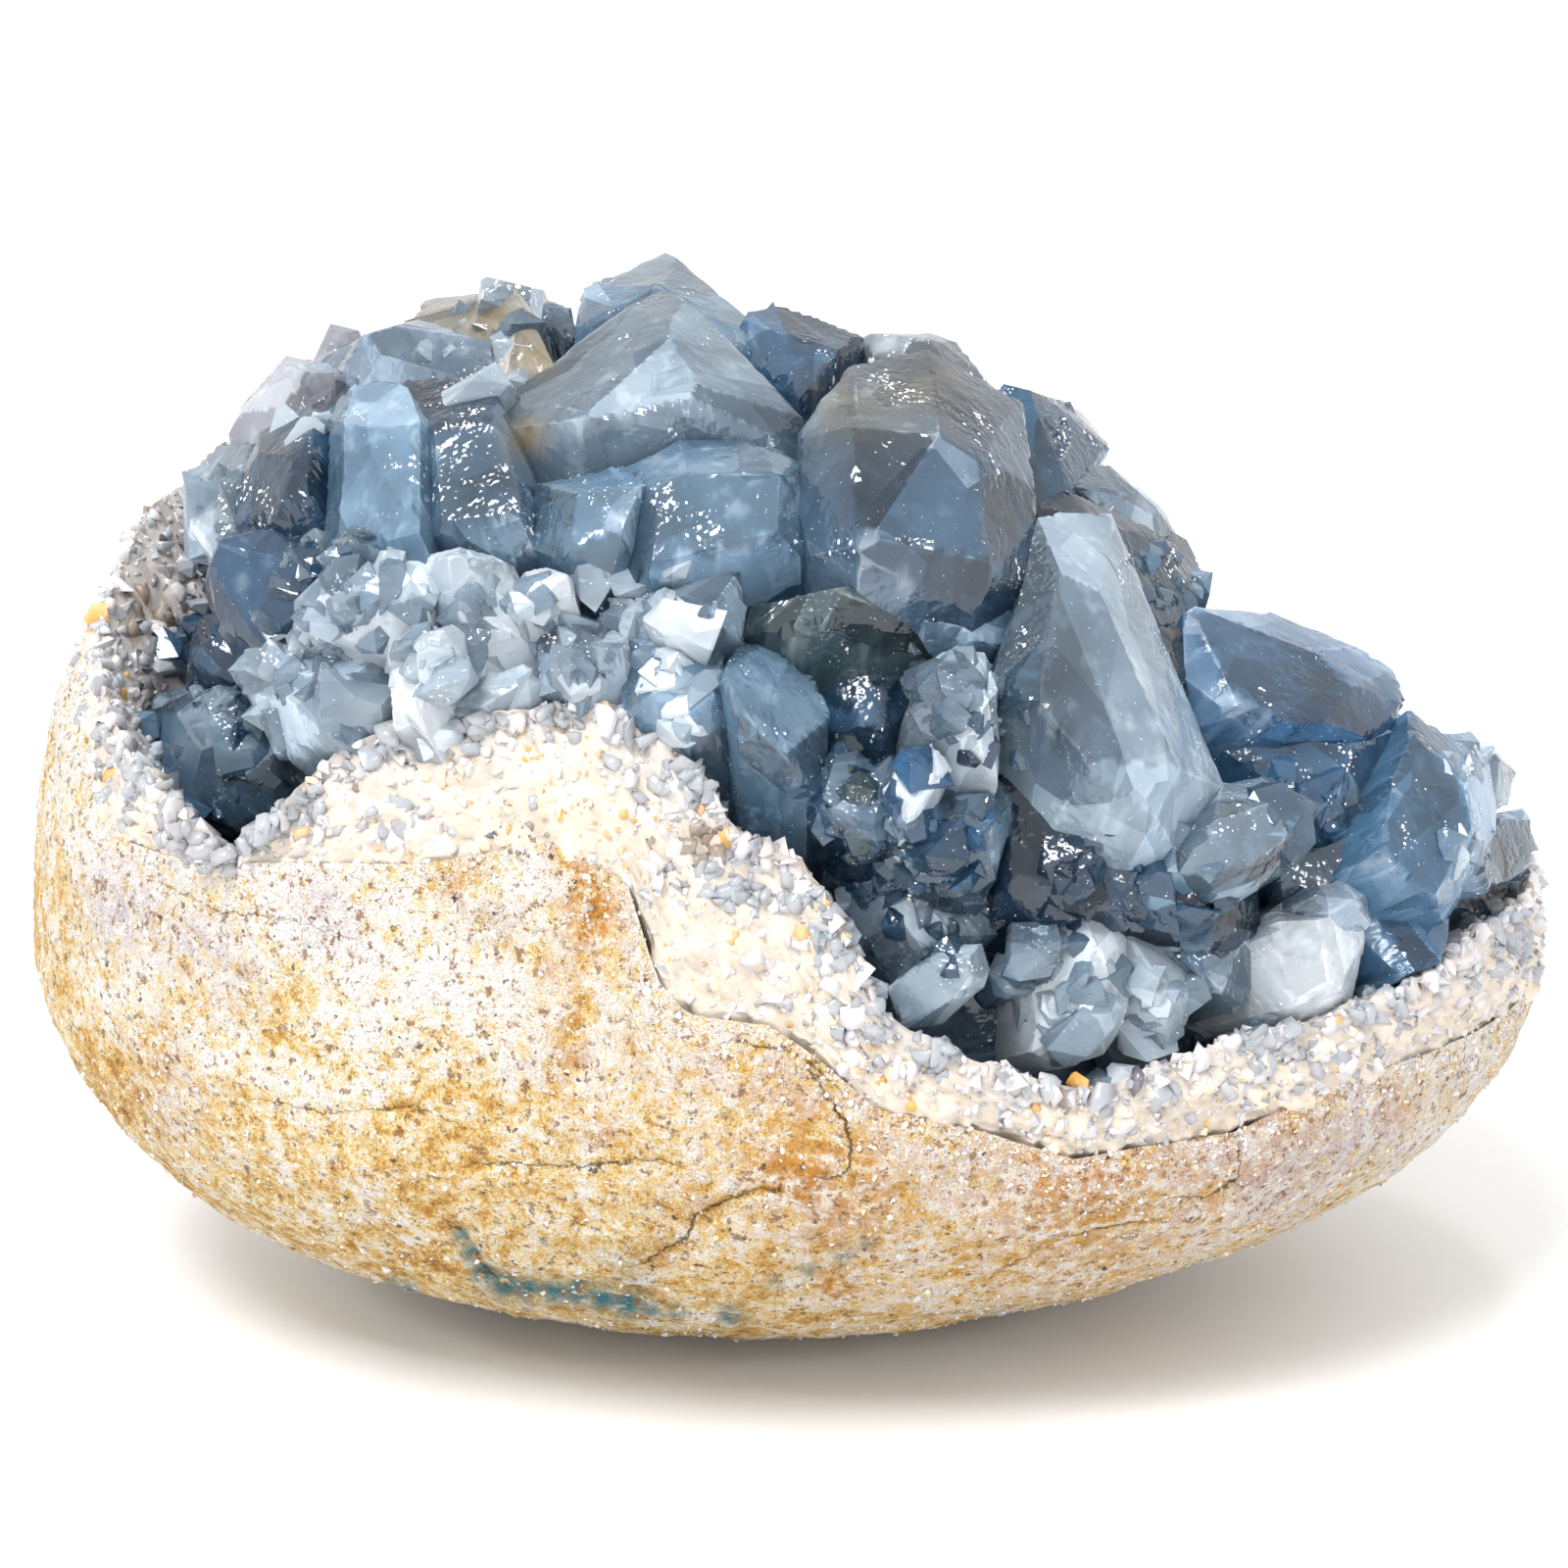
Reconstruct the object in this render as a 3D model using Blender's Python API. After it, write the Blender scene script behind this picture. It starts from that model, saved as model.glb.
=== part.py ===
"""Celestite geode: the lower shell of an egg-shaped limestone nodule, broken open, with a crust of small
white crystals round its hollow and a mound of large pale blue celestite crystals grown together in it.

The frame is in metres, +Z up, with X along the nodule and -Y towards the side that is seen best. The
origin is on the table, under the middle of the nodule's small flat resting spot.

The large crystals are drawn as outlines seen from that side, from 18 degrees above the table. Each
outline is laid on the mound, given a flat or pointed face in front of it and a root that reaches into
the mound, and closed as a convex solid. The side that isn't seen is filled with crystals of its own.
"""

import itertools
import math

import bmesh
import bpy
import numpy as np

MM = 0.001

# The nodule, an egg lying on its side.
HALF_LENGTH = 55.4 * MM
HALF_DEPTH = 36.0 * MM
MIDDLE_X = 0.3 * MM
WAIST_HEIGHT = 27.7 * MM
WAIST_SLOPE = -0.013
BELLY = 28.5 * MM
BELLY_SKEW = -0.085
CROWN = 49.4 * MM
CROWN_SKEW = -0.145
LUMP = 0.45 * MM

# The hollow in the stone, and the crust of small crystals that lines its rim.
HOLLOW_FLOOR = 13.0 * MM
HOLLOW_POWER = 3.5
CRUST_INNER = 0.45
CRUST_UNDER = 0.96
CRUST_WALL = 0.995
CRUST_THINNEST = 0.8 * MM
CRUST_LUMP = 1.0 * MM
CRUST_INSET = 0.03
GAP = 0.3 * MM

# The mound of large crystals: its height over the nodule's own crown, by place along the nodule.
MOUND_X = (-55.0 * MM, 12.0 * MM, 20.0 * MM, 32.0 * MM, 46.0 * MM, 55.0 * MM)
MOUND_SHARE = (1.0, 1.0, 0.92, 0.76, 0.88, 1.0)
HEART_SHARE = 0.8
HEART_LEVEL = 2
ROOT_DEPTH = 0.5
ROOT_WIDTH = 0.8
OVERLAP = 1.05
FACE_NARROWING = (0.55, 0.9)
FACE_SHIFT = 0.25
ROOT_CENTRE = 22.0 * MM
ROOT_PULL = 0.4
MERGE_COSINE = math.cos(math.radians(15))
LEAST_SHARPNESS = 0.001
SLACK = 0.0001 * MM
LEAST_EDGE = 0.1 * MM

# The space below the crystals, which is cut from them, and what the joined solid is cleaned of.
BELOW_INNER = 0.2
BELOW_WIDER = 1.4
BELOW_DEPTH = 10 * MM
SLIVER = 0.005 * MM
FLAT_ANGLE = math.radians(0.5)

# The far side's crystals, each a ring of corners with a face before it.
FAR_COUNT = 76
FAR_SHARE = 0.895
FAR_FRONT = 0.16
FAR_CORNERS = (5, 8)
FAR_TURN = 0.3
FAR_WIDTH = (7 * MM, 10 * MM)
FAR_PROPORTION = (0.7, 1.3)
FAR_LEAN = (-0.7, 0.7)
FAR_RISE = (2 * MM, 4 * MM)
FAR_FLAT = (0.3, 0.7)

# The view in which the outlines are drawn: 1600 steps across 115 mm, at the nodule's middle.
VIEW_RISE = math.radians(18.0)
VIEW_DISTANCE = 319.0 * MM
VIEW_HEIGHT = 39.0 * MM
VIEW_STEP = 115.0 * MM / 1600
VIEW_MIDDLE = 800
SIGHT_SHARES = (0.8, 1.2)
SIGHT_STEPS = 1601

# How finely the solids are divided: angles round the nodule, and sections of the stone's outside and
# hollow and of the crust's top, wall and underside. The spread draws the sections towards the rims.
AROUND = 60
STONE_RINGS = (15, 8)
STONE_SPREAD = 1.15
HOLLOW_SPREAD = 1.6
CRUST_RINGS = (7, 3, 4)
SETTLE_ROUNDS = 4
SEED = 7

# The finishes: linear colour, roughness and how far they are seen through.
FINISHES = {
    "limestone_rind": ("cream_limestone", (0.78, 0.66, 0.46), 0.85, 0.0),
    "druse_crust": ("white_druse", (0.75, 0.73, 0.74), 0.35, 0.0),
    "celestite_crystals": ("blue_celestite", (0.20, 0.30, 0.40), 0.15, 0.6),
}

# The stone's rim and the crust's upper edge. The near side is drawn in the view, left to right. The
# far side is given as (degrees round the nodule from its right end, height in mm).
STONE_RIM = [
    (95, 739), (110, 850), (199, 879), (300, 880), (430, 880), (560, 859), (640, 900),
    (672, 1000), (700, 1035), (784, 1047), (836, 1080), (891, 1131), (989, 1151), (1096, 1183),
    (1155, 1172), (1261, 1155), (1330, 1120), (1421, 1085), (1500, 1055), (1560, 1009),
]
CRUST_TOP = [
    (236, 870), (302, 805), (360, 750), (427, 728), (525, 718), (600, 705), (655, 735), (700, 760),
    (745, 830), (820, 868), (855, 925), (905, 1035), (1000, 1085), (1060, 1100), (1120, 1110),
    (1190, 1085), (1280, 1050), (1400, 1015), (1500, 945), (1554, 915),
]
FAR_RIM = [(10, 26), (45, 31), (75, 38), (100, 44), (130, 49), (160, 53), (180, 53)]
FAR_CRUST = [(10, 33), (45, 38), (75, 45), (100, 50), (130, 56), (160, 59), (180, 60), (196, 52)]

# Each crystal: how far behind the mound's surface its corners lie, in mm, and its outline in the view.
# The most striking ones also have the corners of their front faces, as (across, down, rise in mm). The
# others have a face drawn by its rise in mm, how wide it is, and how it leans across and up.
FACED = {
    "pyramid": (2, [
        (690, 330, 4.5), (703, 404, 5.5), (702, 440, 4.0), (600, 425, 5.0), (740, 400, 4.0)], [
        (510, 438), (520, 405), (548, 384), (600, 345), (645, 308), (680, 297), (702, 316), (722, 328),
        (745, 345), (770, 380), (815, 432), (812, 452), (705, 454), (665, 476), (600, 484), (560, 470)]),
    "great_block": (-2, [
        (868, 436, 5.0), (960, 440, 6.5), (1004, 470, 6.3), (1008, 585, 4.5), (880, 555, 5.0)], [
        (815, 500), (818, 445), (850, 395), (878, 372), (940, 361), (1015, 392), (1040, 410),
        (1048, 460), (1058, 490), (1055, 545), (1050, 590), (1000, 628), (940, 618), (870, 600),
        (830, 560)]),
    "blade": (-2, [
        (1078, 590, 4.0), (1122, 585, 4.6), (1165, 690, 5.2), (1205, 795, 5.0), (1180, 835, 4.0),
        (1105, 780, 4.2), (1060, 705, 3.6)], [
        (1018, 710), (1022, 660), (1035, 610), (1055, 550), (1062, 524), (1135, 532), (1160, 590),
        (1195, 690), (1245, 795), (1215, 850), (1195, 866), (1150, 830), (1085, 800), (1045, 740)]),
    "left_block": (-1, [
        (348, 432, 3.4), (430, 430, 3.8), (426, 545, 3.6), (345, 562, 3.0)], [
        (333, 470), (342, 420), (365, 392), (410, 396), (432, 430), (438, 480), (428, 545), (350, 576),
        (332, 592)]),
    "left_block_side": (0.5, [
        (445, 432, 3.0), (505, 430, 2.6), (532, 525, 2.6), (448, 540, 3.2)], [
        (412, 394), (475, 388), (505, 398), (540, 480), (545, 530), (542, 568), (438, 548), (430, 470)]),
    "dark_peak": (0.5, [
        (316, 438, 4.0), (264, 462, 3.4), (300, 478, 4.6), (278, 530, 3.8), (322, 500, 3.8)], [
        (243, 535), (242, 498), (262, 448), (318, 412), (340, 426), (338, 460), (318, 540), (280, 552)]),
    "back_peak": (12, [(602, 330, 2.4), (676, 284, 3.4), (702, 300, 2.6), (764, 360, 2.4)], [
        (583, 332), (597, 293), (625, 279), (679, 259), (735, 300), (765, 325), (775, 380), (590, 390)]),
    "blue_wedge": (10, [(800, 342, 2.8), (856, 358, 3.0), (815, 404, 3.2)], [
        (755, 322), (785, 310), (845, 325), (888, 345), (850, 395), (835, 425), (812, 432), (760, 365)]),
    "wide_left": (0, [(600, 500, 3.2), (655, 492, 3.8), (640, 536, 4.2), (575, 560, 2.6)], [
        (546, 500), (575, 487), (668, 474), (665, 530), (650, 580), (612, 622), (570, 582), (548, 562)]),
    "wide_right": (-0.5, [
        (672, 500, 4.2), (700, 478, 4.0), (800, 484, 3.8), (790, 540, 3.2), (660, 578, 3.2)], [
        (640, 482), (700, 454), (762, 452), (818, 476), (823, 520), (820, 562), (690, 598), (648, 602)]),
    "right_mass": (1, [
        (1240, 655, 3.0), (1330, 652, 3.6), (1384, 700, 4.4), (1345, 742, 5.0), (1255, 728, 4.4)], [
        (1212, 690), (1212, 625), (1300, 622), (1345, 645), (1392, 685), (1420, 682), (1433, 712),
        (1420, 750), (1330, 756), (1250, 748)]),
    "right_light": (-1, [
        (1436, 758, 3.6), (1500, 798, 4.4), (1498, 862, 4.4), (1462, 915, 4.0), (1404, 872, 3.6)], [
        (1378, 870), (1390, 835), (1415, 770), (1442, 726), (1475, 748), (1515, 780), (1530, 830),
        (1510, 880), (1475, 938), (1420, 915)]),
    "right_block": (-3, [
        (1228, 850, 3.6), (1296, 812, 3.4), (1318, 850, 4.0), (1272, 888, 4.0)], [
        (1205, 860), (1225, 835), (1255, 800), (1295, 797), (1325, 818), (1334, 845), (1320, 880),
        (1285, 902), (1240, 897), (1212, 882)]),
    "white_block": (2, [
        (1300, 940, 2.6), (1356, 936, 3.4), (1368, 1010, 3.4), (1318, 1026, 2.8)], [
        (1283, 975), (1291, 932), (1312, 921), (1366, 919), (1385, 930), (1395, 952), (1387, 990),
        (1378, 1035), (1362, 1046), (1310, 1046)]),
}
PLAIN = {
    "milky_shoulder": (3, 2, 0.6, (0.2, 0.4), [
        (228, 447), (245, 415), (262, 385), (288, 366), (322, 364), (347, 380), (300, 425), (260, 452)]),
    "left_lobe": (1.5, 2.5, 0.5, (0.3, 0), [
        (186, 520), (200, 475), (228, 446), (262, 450), (246, 490), (236, 540), (226, 575), (190, 548)]),
    "dark_skirt": (0.5, 2.5, 0.6, (0.4, 0), [
        (212, 600), (222, 560), (240, 538), (290, 552), (325, 530), (333, 570), (298, 622), (262, 655),
        (228, 645)]),
    "pale_shoulder": (5, 2.5, 0.5, (0, 0.4), [
        (335, 395), (350, 365), (385, 340), (425, 326), (468, 335), (498, 350), (500, 392), (365, 396)]),
    "smoky_shoulder": (8, 3, 0.5, (0.3, 0.2), [
        (415, 325), (435, 306), (500, 298), (527, 298), (552, 330), (562, 368), (510, 402), (470, 370)]),
    "low_back_ridge": (9, 1, 0.5, (0, 0), [
        (322, 366), (345, 352), (385, 341), (400, 360), (340, 390)]),
    "dark_saddle": (13, 1, 0.5, (0, 0), [
        (530, 305), (545, 299), (583, 312), (592, 345), (575, 368)]),
    "far_ridge": (10, 2, 0.4, (0, 0.5), [
        (880, 345), (905, 340), (958, 341), (975, 348), (1017, 396), (985, 410), (900, 400)]),
    "frosty_knob": (-1, 2.5, 0.6, (0, 0.3), [
        (520, 600), (535, 585), (557, 580), (585, 597), (583, 620), (562, 633), (545, 646), (528, 632)]),
    "cluster_top": (-1.5, 3, 0.4, (0.3, 0.3), [
        (300, 650), (308, 615), (340, 578), (385, 560), (430, 570), (448, 610), (440, 655), (350, 660)]),
    "cluster_right": (-1, 2.5, 0.5, (-0.3, 0.2), [
        (430, 572), (470, 562), (520, 575), (548, 640), (500, 668), (455, 672), (438, 630)]),
    "cluster_low": (1, 3, 0.5, (0.2, -0.4), [
        (240, 685), (255, 665), (300, 652), (398, 662), (400, 720), (372, 748), (300, 768), (262, 725)]),
    "milky_drop": (0, 2, 0.5, (0.3, 0), [
        (398, 660), (420, 640), (445, 640), (453, 672), (440, 698), (415, 738), (398, 736)]),
    "low_lens": (0.5, 1.5, 0.6, (0, -0.4), [
        (412, 724), (440, 700), (485, 685), (530, 672), (553, 690), (552, 712), (460, 732)]),
    "low_middle": (-0.5, 2.5, 0.5, (0.2, -0.2), [
        (545, 650), (575, 632), (612, 640), (640, 648), (650, 675), (640, 702), (590, 706), (552, 700)]),
    "dark_wedge": (1, 1.5, 0.4, (0, 0), [
        (555, 640), (585, 605), (615, 620), (605, 640), (575, 650)]),
    "light_wedge": (-1, 3, 0.4, (0.3, -0.3), [
        (610, 628), (645, 606), (690, 590), (750, 580), (755, 615), (750, 652), (700, 656), (640, 642)]),
    "light_low": (-1, 2, 0.5, (0.2, 0), [
        (640, 650), (690, 652), (735, 665), (745, 700), (738, 750), (705, 762), (655, 735), (640, 718)]),
    "big_lens": (0, 4, 0.45, (-0.3, 0), [
        (733, 740), (738, 695), (752, 662), (785, 660), (815, 682), (842, 716), (840, 758), (822, 812),
        (790, 800), (750, 785)]),
    "dark_pyramid": (3, 2, 0.3, (0, 0.3), [
        (752, 640), (752, 592), (790, 578), (816, 564), (840, 575), (868, 610), (862, 640), (800, 655)]),
    "olive_lens": (0, 3, 0.5, (0, 0.5), [
        (752, 650), (765, 620), (805, 612), (850, 605), (900, 615), (955, 656), (850, 668), (780, 664)]),
    "block_foot": (-0.5, 2, 0.5, (0, -0.3), [
        (865, 600), (930, 585), (990, 600), (1040, 608), (1022, 652), (985, 662), (905, 620)]),
    "thin_shard": (-1, 1, 0.4, (0, 0), [
        (1003, 715), (1010, 682), (1020, 690), (1018, 735), (1010, 740)]),
    "middle_pale": (-1, 3.5, 0.4, (0.3, 0), [
        (928, 720), (945, 680), (978, 662), (1003, 670), (1018, 700), (1018, 797), (985, 790),
        (930, 742)]),
    "dark_middle": (3, 2, 0.4, (0, -0.3), [
        (838, 705), (860, 668), (905, 655), (938, 668), (940, 700), (928, 750), (905, 795), (845, 752)]),
    "grey_heap": (1, 2.5, 0.3, (0.2, 0), [
        (822, 815), (835, 775), (858, 755), (888, 775), (912, 810), (920, 850), (890, 870), (835, 855)]),
    "pale_wedge": (0, 2.5, 0.3, (0.3, 0), [
        (903, 800), (925, 765), (950, 760), (972, 785), (962, 808), (925, 852), (912, 840)]),
    "deep_left": (1.5, 2.5, 0.4, (-0.2, 0.2), [
        (925, 855), (960, 800), (1000, 785), (1030, 808), (1028, 850), (1012, 900), (970, 912),
        (930, 895)]),
    "deep_floor": (5, 2, 0.5, (0, 0.3), [
        (850, 880), (890, 858), (935, 890), (1005, 905), (1010, 950), (965, 965), (915, 1000),
        (865, 940)]),
    "gap_wall": (6, 2, 0.5, (0.4, 0), [
        (1015, 735), (1040, 730), (1090, 800), (1120, 900), (1110, 930), (1060, 935), (1030, 900),
        (1020, 830)]),
    "blade_back": (3, 2.5, 0.3, (-0.3, 0.3), [
        (1055, 525), (1085, 505), (1130, 515), (1175, 540), (1190, 580), (1205, 625), (1190, 650)]),
    "teal_back": (4, 2, 0.4, (-0.2, 0.3), [
        (1020, 395), (1048, 396), (1080, 416), (1105, 422), (1130, 452), (1122, 478), (1082, 530),
        (1050, 520)]),
    "pale_shard": (4, 1.5, 0.5, (0, 0.3), [
        (1090, 488), (1125, 470), (1160, 497), (1193, 520), (1203, 548), (1180, 552), (1140, 520)]),
    "back_knob": (4, 2.5, 0.4, (-0.3, 0), [
        (1150, 560), (1190, 535), (1212, 548), (1229, 575), (1225, 605), (1212, 632), (1160, 620)]),
    "right_gap": (4, 1, 0.5, (0, 0), [
        (1165, 645), (1200, 632), (1215, 655), (1228, 705), (1205, 712), (1185, 690)]),
    "right_mass_low": (1.5, 2.5, 0.4, (0, -0.3), [
        (1225, 742), (1330, 738), (1420, 742), (1412, 790), (1395, 835), (1370, 864), (1315, 815)]),
    "right_milky": (3, 1.5, 0.5, (0, 0.3), [
        (1475, 750), (1500, 741), (1525, 758), (1545, 790), (1545, 818), (1528, 822), (1500, 785)]),
    "right_tip": (0, 1.5, 0.5, (-0.3, 0), [
        (1498, 880), (1515, 845), (1550, 820), (1568, 868), (1562, 890), (1545, 905), (1510, 908)]),
    "right_low": (2, 2, 0.6, (0.2, -0.2), [
        (1385, 905), (1440, 908), (1475, 935), (1472, 960), (1450, 985), (1410, 1010), (1392, 960)]),
    "right_shade": (2, 1, 0.4, (0, 0), [
        (1300, 898), (1335, 852), (1372, 872), (1368, 900), (1330, 912)]),
    "pale_round": (0, 1.5, 0.5, (0, 0.3), [
        (1320, 925), (1335, 905), (1368, 897), (1392, 912), (1398, 945), (1350, 950)]),
    "under_blade": (3, 2.5, 0.4, (0.2, -0.2), [
        (1078, 860), (1095, 825), (1160, 845), (1205, 872), (1280, 910), (1280, 945), (1245, 968),
        (1115, 925)]),
    "low_right": (3, 1.5, 0.5, (0, 0), [
        (1180, 960), (1230, 950), (1280, 950), (1290, 985), (1265, 1030), (1225, 1010)]),
    "front_pale": (3.5, 3, 0.35, (0.2, 0.1), [
        (1058, 1068), (1060, 1010), (1075, 945), (1100, 921), (1142, 943), (1152, 980), (1150, 1035),
        (1125, 1070), (1085, 1084)]),
    "front_pale_side": (3.5, 3, 0.4, (-0.3, 0), [
        (1143, 945), (1180, 962), (1230, 1000), (1225, 1018), (1200, 1040), (1185, 1084), (1148, 1020)]),
    "front_bits": (4, 1.5, 0.4, (0, 0), [
        (1032, 988), (1050, 950), (1075, 938), (1082, 962), (1072, 1000), (1045, 1003)]),
    "plate": (2.5, 2, 0.6, (0.2, 0.3), [
        (908, 1005), (930, 985), (962, 967), (1000, 964), (1008, 988), (1003, 1006), (965, 1040),
        (925, 1048)]),
    "notch_floor": (9, 2, 0.5, (0.2, 0.3), [
        (150, 765), (152, 728), (200, 700), (245, 700), (258, 745), (285, 795), (272, 820), (238, 845),
        (160, 810)]),
    "notch_wall": (9, 1, 0.5, (0, 0), [
        (190, 700), (198, 640), (215, 620), (262, 655), (255, 700)]),
}


def interpolate_round(points, angles):
    """Height by angle, in degrees round the nodule, from a closed list of (degrees, height)."""
    degrees, heights = np.array(sorted(points)).T
    return np.interp(np.degrees(angles) % 360, degrees, heights, period=360)


def belly_depth(x):
    """Depth of the nodule's belly below its waist."""
    return BELLY * (1 + BELLY_SKEW * np.clip((x - MIDDLE_X) / HALF_LENGTH, -1, 1))


def crown_height(x, mound):
    """Height of the nodule's crown above its waist, lower over the mound's right half."""
    across = (x - MIDDLE_X) / HALF_LENGTH
    crown = CROWN * (1 + CROWN_SKEW * np.clip(across, -1, 1))
    return crown * np.interp(x, MOUND_X, MOUND_SHARE) if mound else crown


def inside_measure(x, y, z, mound):
    """Below 1 inside the nodule or the mound, 1 on its surface and above 1 outside."""
    waist = WAIST_HEIGHT + WAIST_SLOPE * (x - MIDDLE_X)
    tall = np.where(z > waist, crown_height(x, mound), belly_depth(x))
    along = (x - MIDDLE_X) / HALF_LENGTH
    return along**2 + (y / HALF_DEPTH) ** 2 + ((z - waist) / tall) ** 2


def view_axes():
    """The eye's place and the view's forward, right and up directions."""
    forward = np.array([0, math.cos(VIEW_RISE), -math.sin(VIEW_RISE)])
    right = np.array([1.0, 0, 0])
    up = np.array([0, math.sin(VIEW_RISE), math.cos(VIEW_RISE)])
    return np.array([0, 0, VIEW_HEIGHT]) - VIEW_DISTANCE * forward, forward, right, up


def seen_on(points, mound, behind=0.0):
    """The places on the nodule or the mound that show at these points of the view, or lie this far
    behind. Where a point passes outside, it is the place where its line of sight comes nearest."""
    eye, forward, right, up = view_axes()
    steps = (np.array(points, float) - VIEW_MIDDLE) * VIEW_STEP
    sight = forward * VIEW_DISTANCE + steps[:, :1] * right - steps[:, 1:] * up
    reach = np.linspace(*SIGHT_SHARES, SIGHT_STEPS)[:, None, None]
    track = eye + reach * sight
    measure = inside_measure(track[..., 0], track[..., 1], track[..., 2], mound)
    first = np.where((measure < 1).any(0), (measure < 1).argmax(0), measure.argmin(0))
    straight = sight / np.linalg.norm(sight, axis=1)[:, None]
    return track[first, np.arange(len(points))] + np.reshape(behind, (-1, 1)) * straight


def angle_round(x, y):
    """The angle round the nodule, from its right end, in its plan drawn out to a circle."""
    return np.arctan2(y / HALF_DEPTH, (x - MIDDLE_X) / HALF_LENGTH)


def read_rim(seen, far):
    """A rim's (degrees, height) list, from its near side in the view and its far side as given."""
    places = seen_on(seen, False)
    near = zip(np.degrees(angle_round(places[:, 0], places[:, 1])) % 360, places[:, 2], strict=True)
    return sorted(list(near) + [(degrees, height * MM) for degrees, height in far])


RIM = read_rim(STONE_RIM, FAR_RIM)
CRUST = read_rim(CRUST_TOP, FAR_CRUST)


def surface_at(angles, heights):
    """Points of the nodule's surface at these angles and heights, and their reach from its axis."""
    reach = np.zeros_like(heights)
    for _ in range(SETTLE_ROUNDS):
        x = MIDDLE_X + HALF_LENGTH * reach * np.cos(angles)
        waist = WAIST_HEIGHT + WAIST_SLOPE * (x - MIDDLE_X)
        tall = np.where(heights > waist, crown_height(x, False), belly_depth(x))
        reach = np.sqrt(np.clip(1 - ((heights - waist) / tall) ** 2, 0, 1))
    return on_axis_plan(angles, reach, heights), reach


def on_axis_plan(angles, reach, heights):
    """Points at these angles and heights, at this share of the nodule's largest plan."""
    x = MIDDLE_X + HALF_LENGTH * reach * np.cos(angles)
    return np.stack([x, HALF_DEPTH * reach * np.sin(angles), heights], -1)


def bed_height(angles, reach):
    """The stone's hollow: a flat-floored bowl that meets the nodule's surface at the stone's rim."""
    rim = interpolate_round(RIM, angles)
    _, rim_reach = surface_at(angles, rim)
    return HOLLOW_FLOOR + (rim - HOLLOW_FLOOR) * (reach / rim_reach) ** HOLLOW_POWER


def crust_height(angles, reach):
    """The crust's upper surface, which thins out towards the middle of the hollow."""
    top = interpolate_round(CRUST, angles)
    _, top_reach = surface_at(angles, top)
    full = top - bed_height(angles, top_reach)
    share = np.clip((reach / top_reach - CRUST_INNER) / (1 - CRUST_INNER), 0, 1)
    smooth = share * share * (3 - 2 * share)
    return bed_height(angles, reach) + CRUST_THINNEST + (full - CRUST_THINNEST) * smooth


def collection(name):
    """A new collection in the scene."""
    made = bpy.data.collections.new(name)
    bpy.context.scene.collection.children.link(made)
    return made


def material(name, colour, roughness, transmission):
    """A Principled material in one linear colour, seen through where transmission is over 0."""
    made = bpy.data.materials.new(name)
    made.use_nodes = True
    shader = made.node_tree.nodes["Principled BSDF"]
    shader.inputs["Base Color"].default_value = (*colour, 1)
    shader.inputs["Roughness"].default_value = roughness
    shader.inputs["Metallic"].default_value = 0.0
    shader.inputs["Transmission Weight"].default_value = transmission
    made.diffuse_color = (*colour, 1)
    return made


def from_bmesh(bm, name, place):
    """An object from a closed mesh, with its faces turned outwards."""
    bmesh.ops.recalc_face_normals(bm, faces=bm.faces)
    mesh = bpy.data.meshes.new(name)
    bm.to_mesh(mesh)
    bm.free()
    made = bpy.data.objects.new(name, mesh)
    place.objects.link(made)
    return made


def loft_round(name, place, sections, closed):
    """A closed solid through sections that each run round the nodule. A ring of sections is closed
    on itself; otherwise the first and last sections are single points."""
    bm = bmesh.new()
    rings = [[bm.verts.new(point) for point in section] for section in sections]
    pairs = list(zip(rings, rings[1:], strict=False)) + ([(rings[-1], rings[0])] if closed else [])
    for low, high in pairs:
        count = max(len(low), len(high))
        for i in range(count):
            j = (i + 1) % count
            corners = [low[i % len(low)], low[j % len(low)], high[j % len(high)], high[i % len(high)]]
            bm.faces.new(list(dict.fromkeys(corners)))
    bmesh.ops.triangulate(bm, faces=bm.faces)
    return from_bmesh(bm, name, place)


def angles_round():
    """The angles round the nodule at which every section has its points."""
    return np.linspace(0, 2 * math.pi, AROUND, endpoint=False)


def lumps(shape, size, seed):
    """Seeded uneven heights, one for each point of a section grid."""
    return np.random.default_rng(seed).uniform(-size, size, shape)


def stone_rind(place):
    """The stone: from the middle of the resting spot out, up the nodule to the rim, and down the
    hollow to the middle of its floor."""
    angles = angles_round()
    rim = interpolate_round(RIM, angles)
    outer_count, bed_count = STONE_RINGS
    sections = [np.array([[0, 0, 0]])]
    rough = lumps((outer_count, AROUND), LUMP, SEED)
    for i in range(outer_count):
        if i == outer_count - 1:
            heights = rim
        else:
            heights = rim * (1 - math.cos(math.pi / 2 * i / (outer_count - 1))) ** STONE_SPREAD
        section, _ = surface_at(angles, heights)
        if 0 < i:
            section *= 1 + (rough[i] / HALF_DEPTH)[:, None] * np.array([1, 1, 0])
        sections.append(section)
    _, rim_reach = surface_at(angles, rim)
    for i in range(1, bed_count):
        share = 1 - (i / bed_count) ** HOLLOW_SPREAD
        reach = rim_reach * share
        sections.append(on_axis_plan(angles, reach, bed_height(angles, reach)))
    sections.append(np.array([[MIDDLE_X, 0, HOLLOW_FLOOR]]))
    return loft_round("limestone_rind", place, sections, False)


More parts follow.
